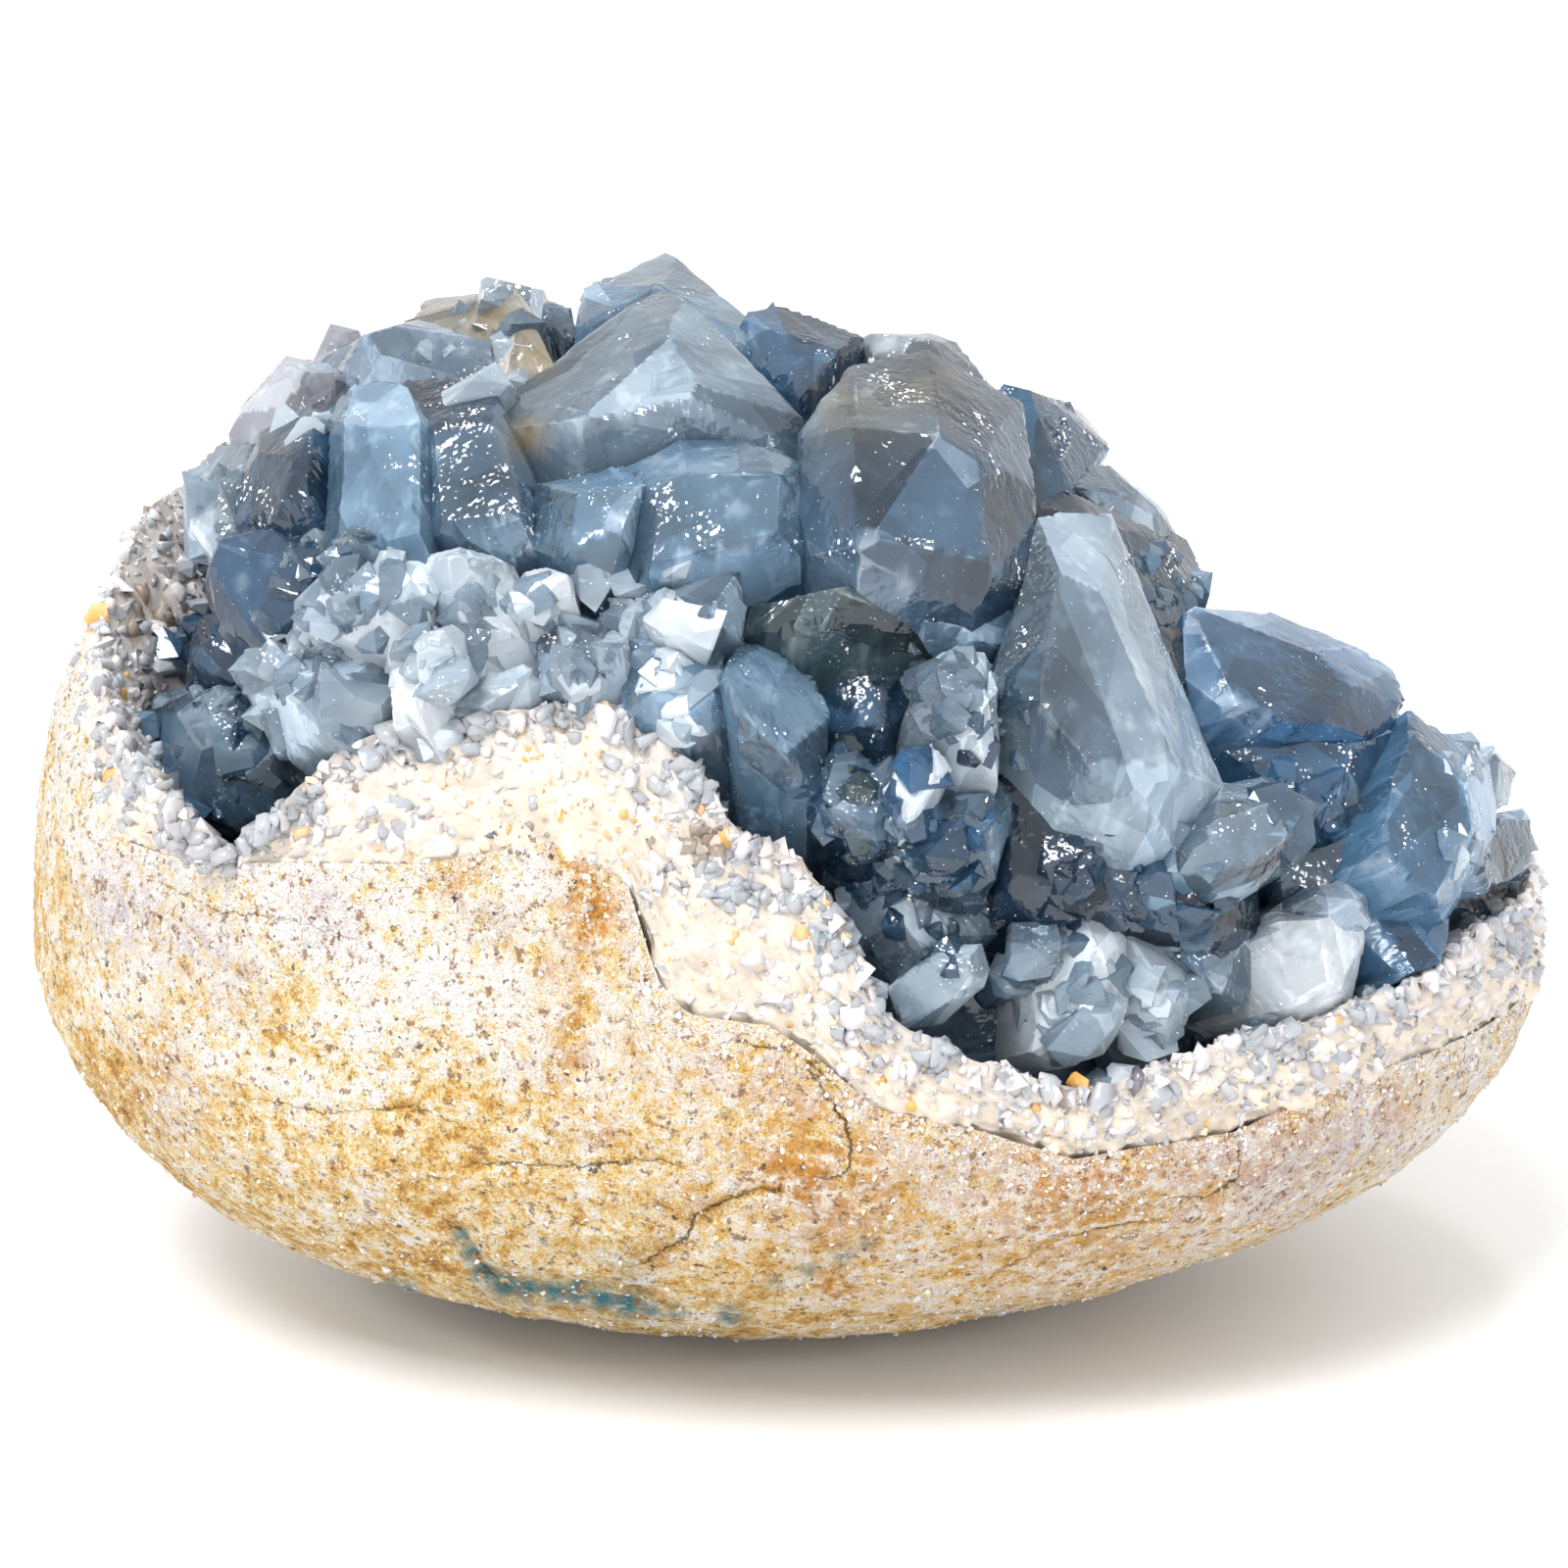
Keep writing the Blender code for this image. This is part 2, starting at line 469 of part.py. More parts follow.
def crust_top_sections(angles):
    """The crust's lumpy upper side from its inner edge to just inside the nodule's surface."""
    top = interpolate_round(CRUST, angles)
    _, top_reach = surface_at(angles, top)
    rough = lumps((CRUST_RINGS[0] + 1, AROUND), CRUST_LUMP, SEED + 1)
    rough[0] = 0
    inset = 1 - CRUST_INSET * lumps(AROUND, 1, SEED + 2) ** 2
    made = []
    for i in range(CRUST_RINGS[0] + 1):
        reach = top_reach * inset * (CRUST_INNER + (1 - CRUST_INNER) * i / CRUST_RINGS[0])
        made.append(on_axis_plan(angles, reach, crust_height(angles, reach) + rough[i]))
    return made


def druse_crust(place):
    """The crust: its upper side outwards, down the nodule's surface to the stone's rim, and back
    inwards just above the stone's hollow."""
    angles = angles_round()
    sections = crust_top_sections(angles)
    rim = interpolate_round(RIM, angles)
    top = interpolate_round(CRUST, angles)
    _, wall_count, under_count = CRUST_RINGS
    rough = lumps((wall_count + 1, AROUND), 1, SEED + 3) ** 2
    for i in range(1, wall_count + 1):
        heights = top + (rim + GAP - top) * i / wall_count
        _, reach = surface_at(angles, heights)
        inset = CRUST_WALL - CRUST_INSET * rough[i]
        sections.append(on_axis_plan(angles, reach * inset, heights))
    _, rim_reach = surface_at(angles, rim)
    _, top_reach = surface_at(angles, top)
    inner = top_reach * CRUST_INNER
    outer = rim_reach * CRUST_UNDER
    for i in range(1, under_count + 1):
        reach = outer + (inner - outer) * i / under_count
        sections.append(on_axis_plan(angles, reach, bed_height(angles, reach) + GAP))
    return loft_round("druse_crust", place, sections, True)


def convex(points, name, place):
    """The convex solid of some points, with points that lie closer than the least edge made one."""
    bm = bmesh.new()
    for point in points:
        bm.verts.new(point)
    bmesh.ops.remove_doubles(bm, verts=bm.verts, dist=LEAST_EDGE)
    made = bmesh.ops.convex_hull(bm, input=bm.verts)
    spare = {item for key in ("geom_interior", "geom_unused") for item in made[key]}
    bmesh.ops.delete(bm, geom=[item for item in spare if isinstance(item, bmesh.types.BMVert)])
    return from_bmesh(bm, name, place)


def drawn_face(ring, outward, across, up, rise, flat, lean, rng):
    """A face from every second corner of the ring, drawn out along a random direction and in across
    it, shrunk by its flatness, shifted and tilted by its lean, and raised outwards."""
    middle = ring.mean(0)
    offset = (ring - middle) * OVERLAP
    size = np.abs(offset).max()
    turn = rng.uniform(0, math.pi)
    along = across * math.cos(turn) + up * math.sin(turn)
    narrow = rng.uniform(*FACE_NARROWING)
    corners = offset[rng.integers(2) :: 2]
    tilt = 1 + lean[0] * (corners @ across) / size + lean[1] * (corners @ up) / size
    drawn = corners * narrow + np.outer(corners @ along, along) * (1 / narrow - narrow)
    shift = (across * lean[0] + up * lean[1]) * size * FACE_SHIFT
    return middle + shift + flat * drawn + outward * (rise * tilt)[:, None]


def with_root(ring, face):
    """The ring made slightly larger, the face before it, and a root that points into the mound."""
    middle = ring.mean(0)
    offset = (ring - middle) * OVERLAP
    focus = np.array([ROOT_PULL * middle[0], ROOT_PULL * middle[1], ROOT_CENTRE])
    root = middle + offset * ROOT_WIDTH + ROOT_DEPTH * (focus - middle)
    return np.concatenate([middle + offset, face, root])


def flat_faces(corners):
    """The corners' middle, and the directions and distances from it of the faces of their convex
    solid. Triangles that point almost the same way are gathered into one face, as a real face is
    wide and flat."""
    bm = bmesh.new()
    for corner in corners:
        bm.verts.new(corner)
    hull = bmesh.ops.convex_hull(bm, input=bm.verts)
    spare = {item for key in ("geom_interior", "geom_unused") for item in hull[key]}
    bmesh.ops.delete(bm, geom=[item for item in spare if isinstance(item, bmesh.types.BMVert)])
    bmesh.ops.recalc_face_normals(bm, faces=bm.faces)
    bm.normal_update()
    middle = np.mean([vert.co for vert in bm.verts], axis=0)
    triangles = sorted(
        (-face.calc_area(), tuple(face.normal), tuple(face.calc_center_median())) for face in bm.faces
    )
    bm.free()
    gathered = []
    for area, direction, place in triangles:
        weighted = -area * np.array([*direction, *place, 1])
        for group in gathered:
            if group[:3] @ direction > MERGE_COSINE * np.linalg.norm(group[:3]):
                group += weighted
                break
        else:
            gathered.append(weighted)
    gathered = np.array(gathered)
    directions = gathered[:, :3] / np.linalg.norm(gathered[:, :3], axis=1)[:, None]
    places = gathered[:, 3:6] / gathered[:, 6:]
    return middle, directions, ((places - middle) * directions).sum(1)


def crystal(name, place, corners):
    """A convex solid between the gathered faces: its corners are the places where three face planes
    meet that no other plane cuts off."""
    middle, directions, distances = flat_faces(corners)
    trios = np.array(list(itertools.combinations(range(len(distances)), 3)))
    sharp = np.abs(np.linalg.det(directions[trios])) > LEAST_SHARPNESS
    meets = np.linalg.solve(directions[trios[sharp]], distances[trios[sharp]][..., None])[..., 0]
    kept = meets[(meets @ directions.T <= distances + SLACK).all(1)]
    return convex(middle + kept, name, place)


def near_crystals(place):
    """The crystals drawn in the view, each laid on the mound."""
    rng = np.random.default_rng(SEED)
    _, forward, right, up = view_axes()
    for name, (behind, tops, outline) in FACED.items():
        tops = np.array(tops)
        face = seen_on(tops[:, :2], True, (behind - tops[:, 2]) * MM)
        crystal(name, place, with_root(seen_on(outline, True, behind * MM), face))
    for name, (behind, rise, flat, lean, outline) in PLAIN.items():
        ring = seen_on(outline, True, behind * MM)
        face = drawn_face(ring, -forward, right, up, rise * MM, flat, lean, rng)
        crystal(name, place, with_root(ring, face))


def far_crystals(place):
    """Crystals over the mound's far side, spread by the golden angle and varied with a fixed seed."""
    rng = np.random.default_rng(SEED)
    for i in range(FAR_COUNT):
        level = 1 - (i + 0.5) / FAR_COUNT
        angle = i * math.pi * (3 - math.sqrt(5))
        spread = math.sqrt(1 - level**2)
        if math.sin(angle) * spread < FAR_FRONT:
            continue
        x = MIDDLE_X + HALF_LENGTH * spread * math.cos(angle)
        y = HALF_DEPTH * spread * math.sin(angle)
        z = WAIST_HEIGHT + crown_height(x, True) * level
        middle = np.array([x, y, z]) * FAR_SHARE
        outward = np.array([x / HALF_LENGTH**2, y / HALF_DEPTH**2, level / crown_height(x, True)])
        outward /= np.linalg.norm(outward)
        across = np.cross([0, 0, 1.0], outward)
        across /= np.linalg.norm(across)
        up = np.cross(outward, across)
        count = rng.integers(*FAR_CORNERS)
        turns = (np.arange(count) + rng.uniform(-FAR_TURN, FAR_TURN, count)) * 2 * math.pi / count
        width = rng.uniform(*FAR_WIDTH)
        height = width * rng.uniform(*FAR_PROPORTION)
        ring = middle + np.outer(width * np.cos(turns), across) + np.outer(height * np.sin(turns), up)
        lean = rng.uniform(*FAR_LEAN, 2)
        rise = rng.uniform(*FAR_RISE)
        flat = rng.uniform(*FAR_FLAT)
        face = drawn_face(ring, outward, across, up, rise, flat, lean, rng)
        crystal(f"far_crystal_{i:02d}", place, with_root(ring, face))


def mound_heart(place):
    """The mass in which the crystals have grown together, of the mound's own form."""
    bm = bmesh.new()
    bmesh.ops.create_icosphere(bm, subdivisions=HEART_LEVEL, radius=1)
    for vert in bm.verts:
        x = MIDDLE_X + HALF_LENGTH * HEART_SHARE * vert.co.x
        y = HALF_DEPTH * HEART_SHARE * vert.co.y
        tall = crown_height(x, True) if vert.co.z > 0 else WAIST_HEIGHT
        vert.co = (x, y, WAIST_HEIGHT + tall * HEART_SHARE * vert.co.z)
    return from_bmesh(bm, "celestite_crystals", place)


def below_crystals(place):
    """Everything under the crystals: the crust's upper side, raised by the gap, and all below it."""
    angles = angles_round()
    top_sections = crust_top_sections(angles)
    lift = np.array([0, 0, GAP])
    depth = np.array([0, 0, BELOW_DEPTH])
    floor = HOLLOW_FLOOR + CRUST_THINNEST
    sections = [np.array([[MIDDLE_X, 0, floor]])]
    _, top_reach = surface_at(angles, interpolate_round(CRUST, angles))
    inner = top_reach * BELOW_INNER
    sections.append(on_axis_plan(angles, inner, np.full(AROUND, floor)) + lift)
    sections += [section + lift for section in top_sections]
    outside = sections[-1] * np.array([BELOW_WIDER, BELOW_WIDER, 1])
    sections.append(outside)
    sections.append(outside * np.array([1, 1, 0]) - depth)
    sections.append(-depth[None])
    return loft_round("below_crystals", place, sections, False)


def boolean(target, operation, operand):
    """A Boolean on the target, with an object or with every object of a collection."""
    modifier = target.modifiers.new(operation.title(), "BOOLEAN")
    modifier.operation = operation
    modifier.solver = "EXACT"
    if isinstance(operand, bpy.types.Collection):
        modifier.operand_type = "COLLECTION"
        modifier.collection = operand
    else:
        modifier.object = operand


def keep_largest(target):
    """Settles the target's modifiers and drops any chip that the cut has parted from it. A corner
    with only two edges goes too, so that the faces beside it don't both fill it with a triangle."""
    graph = bpy.context.evaluated_depsgraph_get()
    mesh = bpy.data.meshes.new_from_object(target.evaluated_get(graph))
    target.modifiers.clear()
    target.data = mesh
    bm = bmesh.new()
    bm.from_mesh(mesh)
    bmesh.ops.dissolve_degenerate(bm, edges=bm.edges, dist=SLIVER)
    unseen = set(bm.verts)
    pieces = []
    while unseen:
        piece = {unseen.pop()}
        edge = set(piece)
        while edge:
            edge = {e.other_vert(v) for v in edge for e in v.link_edges} - piece
            piece |= edge
        unseen -= piece
        pieces.append(piece)
    keep = max(pieces, key=len)
    bmesh.ops.delete(bm, geom=[v for v in bm.verts if v not in keep])
    bmesh.ops.dissolve_limit(bm, angle_limit=FLAT_ANGLE, verts=bm.verts, edges=bm.edges)
    bmesh.ops.dissolve_verts(bm, verts=[v for v in bm.verts if len(v.link_edges) == 2])
    bmesh.ops.triangulate(bm, faces=bm.faces)
    bm.to_mesh(mesh)
    bm.free()


def celestite_crystals(place, helpers):
    """The large crystals, grown together in one solid that rests in the crust."""
    near_crystals(helpers)
    far_crystals(helpers)
    cutters = collection("geode_cutters")
    below = below_crystals(cutters)
    made = mound_heart(place)
    boolean(made, "UNION", helpers)
    boolean(made, "DIFFERENCE", below)
    bpy.context.view_layer.update()
    keep_largest(made)
    for helper in list(helpers.objects) + [below]:
        helper.hide_render = True
        helper.display_type = "WIRE"
        helper.hide_set(True)
    return made


def build():
    """The three pieces, each with its finish, and the single crystals and cutter kept beside them."""
    for old in list(bpy.data.objects):
        bpy.data.objects.remove(old)
    parts = collection("celestite_geode")
    single_crystals = collection("geode_single_crystals")
    stone_rind(parts)
    druse_crust(parts)
    celestite_crystals(parts, single_crystals)
    for item in parts.objects:
        item.data.materials.clear()
        item.data.materials.append(material(*FINISHES[item.name]))
    print({item.name: len(item.data.polygons) for item in parts.objects})


build()
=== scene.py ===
# %% [markdown]
# # A celestite geode
#
# The object is half of an egg-shaped limestone nodule that was hollow inside. Water laid down a crust
# of small white crystals on the hollow's wall, called druse, and large pale blue celestite crystals
# grew on that crust and through one another. The solids of the part are already packed as a frame of
# three nodes. This file dresses each of them in a detailed surface and a finish of its own.
#
# The frame is in metres with +Z up. X runs along the nodule, -Y points to the side seen in the
# photograph, and the origin is on the table under the nodule.

import math

import bmesh
import bpy
import numpy as np
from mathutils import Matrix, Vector
from mathutils.bvhtree import BVHTree


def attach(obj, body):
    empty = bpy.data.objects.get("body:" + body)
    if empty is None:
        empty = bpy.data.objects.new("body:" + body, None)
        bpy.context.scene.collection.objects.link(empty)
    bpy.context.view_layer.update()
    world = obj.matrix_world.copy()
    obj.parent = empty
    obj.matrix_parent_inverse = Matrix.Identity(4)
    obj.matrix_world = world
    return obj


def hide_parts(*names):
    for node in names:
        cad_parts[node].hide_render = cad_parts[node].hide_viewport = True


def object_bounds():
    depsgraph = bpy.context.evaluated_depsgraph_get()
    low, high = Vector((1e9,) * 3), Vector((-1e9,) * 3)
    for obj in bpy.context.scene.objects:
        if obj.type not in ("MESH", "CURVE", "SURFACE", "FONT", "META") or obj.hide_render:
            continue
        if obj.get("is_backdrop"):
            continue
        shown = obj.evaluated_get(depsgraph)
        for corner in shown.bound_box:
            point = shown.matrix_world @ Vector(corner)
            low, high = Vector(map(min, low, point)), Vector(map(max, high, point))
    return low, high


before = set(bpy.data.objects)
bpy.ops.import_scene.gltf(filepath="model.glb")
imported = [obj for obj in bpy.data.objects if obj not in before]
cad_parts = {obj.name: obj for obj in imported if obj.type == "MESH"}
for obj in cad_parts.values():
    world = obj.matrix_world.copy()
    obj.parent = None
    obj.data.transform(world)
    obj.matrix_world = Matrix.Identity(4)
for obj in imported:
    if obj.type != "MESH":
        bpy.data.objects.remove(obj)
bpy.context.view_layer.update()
print("nodes:", sorted(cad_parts))

# %% [markdown]
# ## The camera
#
# The photograph looks a little down on the nodule's long side. A camera 18 degrees above the table and
# 319 mm away shows the outline in the same way, with a 100 mm lens on a 36 mm sensor, so that the
# square picture is 115 mm wide at the nodule's middle. The crystals below are placed by what this
# camera sees, so its measures are named values that both use.

# %% Place the camera
MM = 0.001
VIEW_RISE = math.radians(18.0)
VIEW_DISTANCE = 319.0 * MM
VIEW_HEIGHT = 39.0 * MM
VIEW_STEP = 115.0 * MM / 1600
VIEW_MIDDLE = 800

FORWARD = np.array([0, math.cos(VIEW_RISE), -math.sin(VIEW_RISE)])
RIGHT = np.array([1.0, 0, 0])
UP = np.array([0, math.sin(VIEW_RISE), math.cos(VIEW_RISE)])
EYE = np.array([0, 0, VIEW_HEIGHT]) - VIEW_DISTANCE * FORWARD

camera = bpy.data.objects.new("camera", bpy.data.cameras.new("camera"))
bpy.context.scene.collection.objects.link(camera)
camera.location = EYE
camera.rotation_euler = (math.pi / 2 - VIEW_RISE, 0, 0)
camera.data.lens = 100
camera.data.sensor_width = 36
bpy.context.scene.camera = camera
print("camera at", np.round(EYE * 1000, 1), "mm")

# %% [markdown]
# ## The nodule's form
#
# The whole nodule is an egg on its side: an ellipse in plan, with a belly below its waist and a crown
# above it that is taller at the left. The stone's rim and the crust's upper edge are closed lines
# round it. On the near side each point of a line is given as it shows in the view, in steps of the
# 1600 across the picture. On the far side the lines are given as (degrees round the nodule from its
# right end, height in mm).

# %% The nodule's measures and its two rims
HALF_LENGTH = 55.4 * MM
HALF_DEPTH = 36.0 * MM
MIDDLE_X = 0.3 * MM
WAIST_HEIGHT = 27.7 * MM
WAIST_SLOPE = -0.013
BELLY = 28.5 * MM
BELLY_SKEW = -0.085
CROWN = 49.4 * MM
CROWN_SKEW = -0.145
MOUND_X = (-55.0 * MM, 12.0 * MM, 20.0 * MM, 32.0 * MM, 46.0 * MM, 55.0 * MM)
MOUND_SHARE = (1.0, 1.0, 0.92, 0.76, 0.88, 1.0)

STONE_RIM = [
    (95, 739), (110, 850), (199, 879), (300, 880), (430, 880), (560, 859), (640, 900),
    (672, 1000), (700, 1035), (784, 1047), (836, 1080), (891, 1131), (989, 1151), (1096, 1183),
    (1155, 1172), (1261, 1155), (1330, 1120), (1421, 1085), (1500, 1055), (1560, 1009),
]
CRUST_TOP = [
    (236, 870), (302, 805), (360, 750), (427, 728), (525, 718), (600, 705), (655, 735), (700, 760),
    (745, 830), (820, 868), (855, 925), (905, 1035), (1000, 1085), (1060, 1100), (1120, 1110),
    (1190, 1085), (1280, 1050), (1400, 1015), (1500, 945), (1554, 915),
]
FAR_RIM = [(10, 26), (45, 31), (75, 38), (100, 44), (130, 49), (160, 53), (180, 53)]
FAR_CRUST = [(10, 33), (45, 38), (75, 45), (100, 50), (130, 56), (160, 59), (180, 60), (196, 52)]
print("nodule", round(2 * HALF_LENGTH / MM, 1), "by", round(2 * HALF_DEPTH / MM, 1), "mm in plan")

# %% [markdown]
# ### From the view to the nodule, and back
#
# A point of the picture is put back on the object by following its line of sight to where it first
# meets the egg. The line is sampled in small steps, because the egg is skewed and has no simple formula.

# %% Follow the lines of sight
SIGHT_SHARES = (0.8, 1.2)
SIGHT_STEPS = 1601


def belly_depth(x):
    """Depth of the belly below the waist: BELLY * (1 + BELLY_SKEW * place along the nodule)."""
    return BELLY * (1 + BELLY_SKEW * np.clip((x - MIDDLE_X) / HALF_LENGTH, -1, 1))


def crown_height(x, mound):
    """Height of the crown above the waist, skewed in the same way, and over the mound of crystals
    multiplied by the mound's share, which dips on the right."""
    crown = CROWN * (1 + CROWN_SKEW * np.clip((x - MIDDLE_X) / HALF_LENGTH, -1, 1))
    return crown * np.interp(x, MOUND_X, MOUND_SHARE) if mound else crown


def waist_at(x):
    """Height of the waist: WAIST_HEIGHT plus a slight slope along X."""
    return WAIST_HEIGHT + WAIST_SLOPE * (x - MIDDLE_X)


def inside_measure(x, y, z, mound=False):
    """(x / half length)^2 + (y / half depth)^2 + (height over the waist / crown or belly)^2, which is
    below 1 inside the nodule and 1 on its surface."""
    tall = np.where(z > waist_at(x), crown_height(x, mound), belly_depth(x))
    return ((x - MIDDLE_X) / HALF_LENGTH) ** 2 + (y / HALF_DEPTH) ** 2 + ((z - waist_at(x)) / tall) ** 2


def seen_on(points, mound, behind=0.0):
    """The places on the nodule or the mound that show at these points of the view, or lie `behind`
    metres further along the line of sight. The line is sampled, and the first sample inside counts;
    where it passes outside, the sample with the least measure does."""
    points = np.array(points, float).reshape(-1, 2)
    steps = (points - VIEW_MIDDLE) * VIEW_STEP
    sight = FORWARD * VIEW_DISTANCE + steps[:, :1] * RIGHT - steps[:, 1:] * UP
    reach = np.linspace(*SIGHT_SHARES, SIGHT_STEPS)[:, None, None]
    track = EYE + reach * sight
    measure = inside_measure(track[..., 0], track[..., 1], track[..., 2], mound)
    first = np.where((measure < 1).any(0), (measure < 1).argmax(0), measure.argmin(0))
    straight = sight / np.linalg.norm(sight, axis=1)[:, None]
    return track[first, np.arange(len(points))] + np.reshape(behind, (-1, 1)) * straight


def in_view(points):
    """Where points show in the view, in its steps across and down."""
    away = points - EYE
    depth = away @ FORWARD
    across = VIEW_MIDDLE + (away @ RIGHT) / depth * VIEW_DISTANCE / VIEW_STEP
    down = VIEW_MIDDLE - (away @ UP) / depth * VIEW_DISTANCE / VIEW_STEP
    return np.stack([across, down], -1)


def spot_sum(spots, seen):
    """Sum over spots (across, down, radius, strength) of strength * exp(-(distance / radius)^2)."""
    spots = np.array(spots, float)
    far = np.linalg.norm(seen[:, None] - spots[:, :2], axis=-1) / spots[:, 2]
    return (spots[:, 3] * np.exp(-(far**2))).sum(1)


print("view's middle is at", np.round(seen_on([(VIEW_MIDDLE, VIEW_MIDDLE)], True)[0] / MM, 1), "mm")

# %% [markdown]
# ### The rims, the hollow and the crust
#
# The two rims are read as heights by angle round the nodule. The hollow is a bowl with a flat floor
# inside the stone's rim, and the crust's upper side thins out towards the middle. Both are heights by
# angle and reach, the share of the way out to the widest plan.

# %% Heights by angle and reach
SETTLE_ROUNDS = 4
HOLLOW_FLOOR = 13.0 * MM
HOLLOW_POWER = 3.5
CRUST_INNER = 0.45
CRUST_THINNEST = 0.8 * MM


def angle_round(x, y):
    """Angle round the nodule, with X and Y measured in half lengths and half depths."""
    return np.arctan2(y / HALF_DEPTH, (x - MIDDLE_X) / HALF_LENGTH)


def read_rim(seen, far):
    """A rim's (degrees, height) list, from its near side in the view and its far side as given."""
    places = seen_on(seen, False)
    near = zip(np.degrees(angle_round(places[:, 0], places[:, 1])) % 360, places[:, 2], strict=True)
    return sorted(list(near) + [(degrees, height * MM) for degrees, height in far])


def height_round(points, angles):
    """Height by angle, straight between the points of a closed (degrees, height) list."""
    degrees, heights = np.array(points).T
    return np.interp(np.degrees(angles) % 360, degrees, heights, period=360)


def plan_point(angles, reach, heights):
    """The point at an angle and a share of the way from the nodule's axis to its widest plan."""
    x = MIDDLE_X + HALF_LENGTH * reach * np.cos(angles)
    return np.stack([x, HALF_DEPTH * reach * np.sin(angles), heights], -1)


def reach_at(angles, heights):
    """Share of the widest plan that the nodule has at a height: the square root of
    1 - (height over the waist / crown or belly)^2, worked out again as x settles."""
    reach = np.zeros(np.broadcast(angles, heights).shape)
    for _ in range(SETTLE_ROUNDS):
        x = MIDDLE_X + HALF_LENGTH * reach * np.cos(angles)
        tall = np.where(heights > waist_at(x), crown_height(x, False), belly_depth(x))
        reach = np.sqrt(np.clip(1 - ((heights - waist_at(x)) / tall) ** 2, 0, 1))
    return reach


RIM = read_rim(STONE_RIM, FAR_RIM)
CRUST = read_rim(CRUST_TOP, FAR_CRUST)


def bed_height(angles, reach):
    """The stone's hollow, a flat-floored bowl: floor + (rim - floor) * (reach / rim's reach) ^ power."""
    rim = height_round(RIM, angles)
    return HOLLOW_FLOOR + (rim - HOLLOW_FLOOR) * (reach / reach_at(angles, rim)) ** HOLLOW_POWER


def crust_height(angles, reach):
    """The crust's upper side: the bed plus a thickness that eases from its full height at the edge to
    almost nothing towards the middle."""
    top = height_round(CRUST, angles)
    top_reach = reach_at(angles, top)
    full = top - bed_height(angles, top_reach)
    share = np.clip((reach / top_reach - CRUST_INNER) / (1 - CRUST_INNER), 0, 1)
    smooth = share * share * (3 - 2 * share)
    return bed_height(angles, reach) + CRUST_THINNEST + (full - CRUST_THINNEST) * smooth


rim_heights = [round(height / MM, 1) for _, height in RIM]
print("stone's rim from", min(rim_heights), "to", max(rim_heights), "mm")

# %% [markdown]
# ## Noise as whole arrays
#
# Stone and crystal are uneven at many sizes at once. Two kinds of noise make that unevenness. Smooth
# noise gives soft hills and hollows. Cell noise splits space into rounded cells, as sand grains and
# sugary crystals do. Both work on whole arrays of points, so a surface of a hundred thousand points
# takes well under a second.

# %% Two kinds of noise


def scrambled(cells, seed):
    """A fixed random number from 0 to 1 for each cell: its three whole numbers are multiplied by large
    odd numbers, added and mixed bit by bit."""
    mixed = (cells.astype(np.int64) * np.array([73856093, 19349663, 83492791])).sum(-1) + seed * 2654435
    mixed = ((mixed ^ (mixed >> 13)) * 1274126177) & 0xFFFFFFFF
    mixed ^= mixed >> 16
    mixed = (mixed * 2246822519) & 0xFFFFFFFF
    return ((mixed >> 9) & 0xFFFF) / 0xFFFF


def smooth_noise(points, size, seed):
    """Numbers from -1 to 1: random numbers at the corners of cubes of `size`, blended across each cube
    with the weight s * s * (3 - 2 * s)."""
    at = np.asarray(points) / size
    base = np.floor(at)
    part = at - base
    part = part * part * (3 - 2 * part)
    total = 0
    for corner in np.ndindex(2, 2, 2):
        weight = np.where(corner, part, 1 - part).prod(-1)
        total = total + weight * scrambled(base + corner, seed)
    return 2 * total - 1


def cell_noise(points, size, seed):
    """Distance to the nearest and to the second nearest seed, and a random number of the nearest one,
    with one seed at a random place in each cube of `size`. Distances are in units of `size`."""
    at = np.asarray(points) / size
    base = np.floor(at)
    near = np.full(at.shape[:-1], 9.0)
    second = near.copy()
    number = np.zeros_like(near)
    for step in np.ndindex(3, 3, 3):
        cell = base + np.array(step) - 1
        place = cell + np.stack([scrambled(cell, seed + k) for k in range(3)], -1)
        far = np.linalg.norm(at - place, axis=-1)
        second = np.minimum(second, np.maximum(near, far))
        number = np.where(far < near, scrambled(cell, seed + 3), number)
        near = np.minimum(near, far)
    return near, second, number


# %% [markdown]
# ## Meshes and nodes
#
# A mesh is put together from arrays of points and faces. Values that the finish needs, such as how far
# a point is from a crack, go along as attributes of the points. Every material is a tree of nodes, and
# one small function adds a node, sets its properties and links its inputs.

# %% Put arrays into a mesh, and nodes into a material
ATTRIBUTE_KINDS = {1: ("FLOAT", "value"), 3: ("FLOAT_VECTOR", "vector"), 4: ("FLOAT_COLOR", "color")}


def linear(hexadecimal):
    """An sRGB hex colour as linear light: s / 12.92 in the darkest part, else ((s + 0.055) / 1.055)^2.4."""
    parts = np.array([int(hexadecimal[i : i + 2], 16) for i in (1, 3, 5)]) / 255
    light = np.where(parts <= 0.04045, parts / 12.92, ((parts + 0.055) / 1.055) ** 2.4)
    return (*light, 1.0)


def scale_of(width):
    """A pattern's scale, from the real width of its cells in mm: the number of cells in a metre, which
    is 1000 / width, rounded to tens."""
    return round(1000 / width, -1)


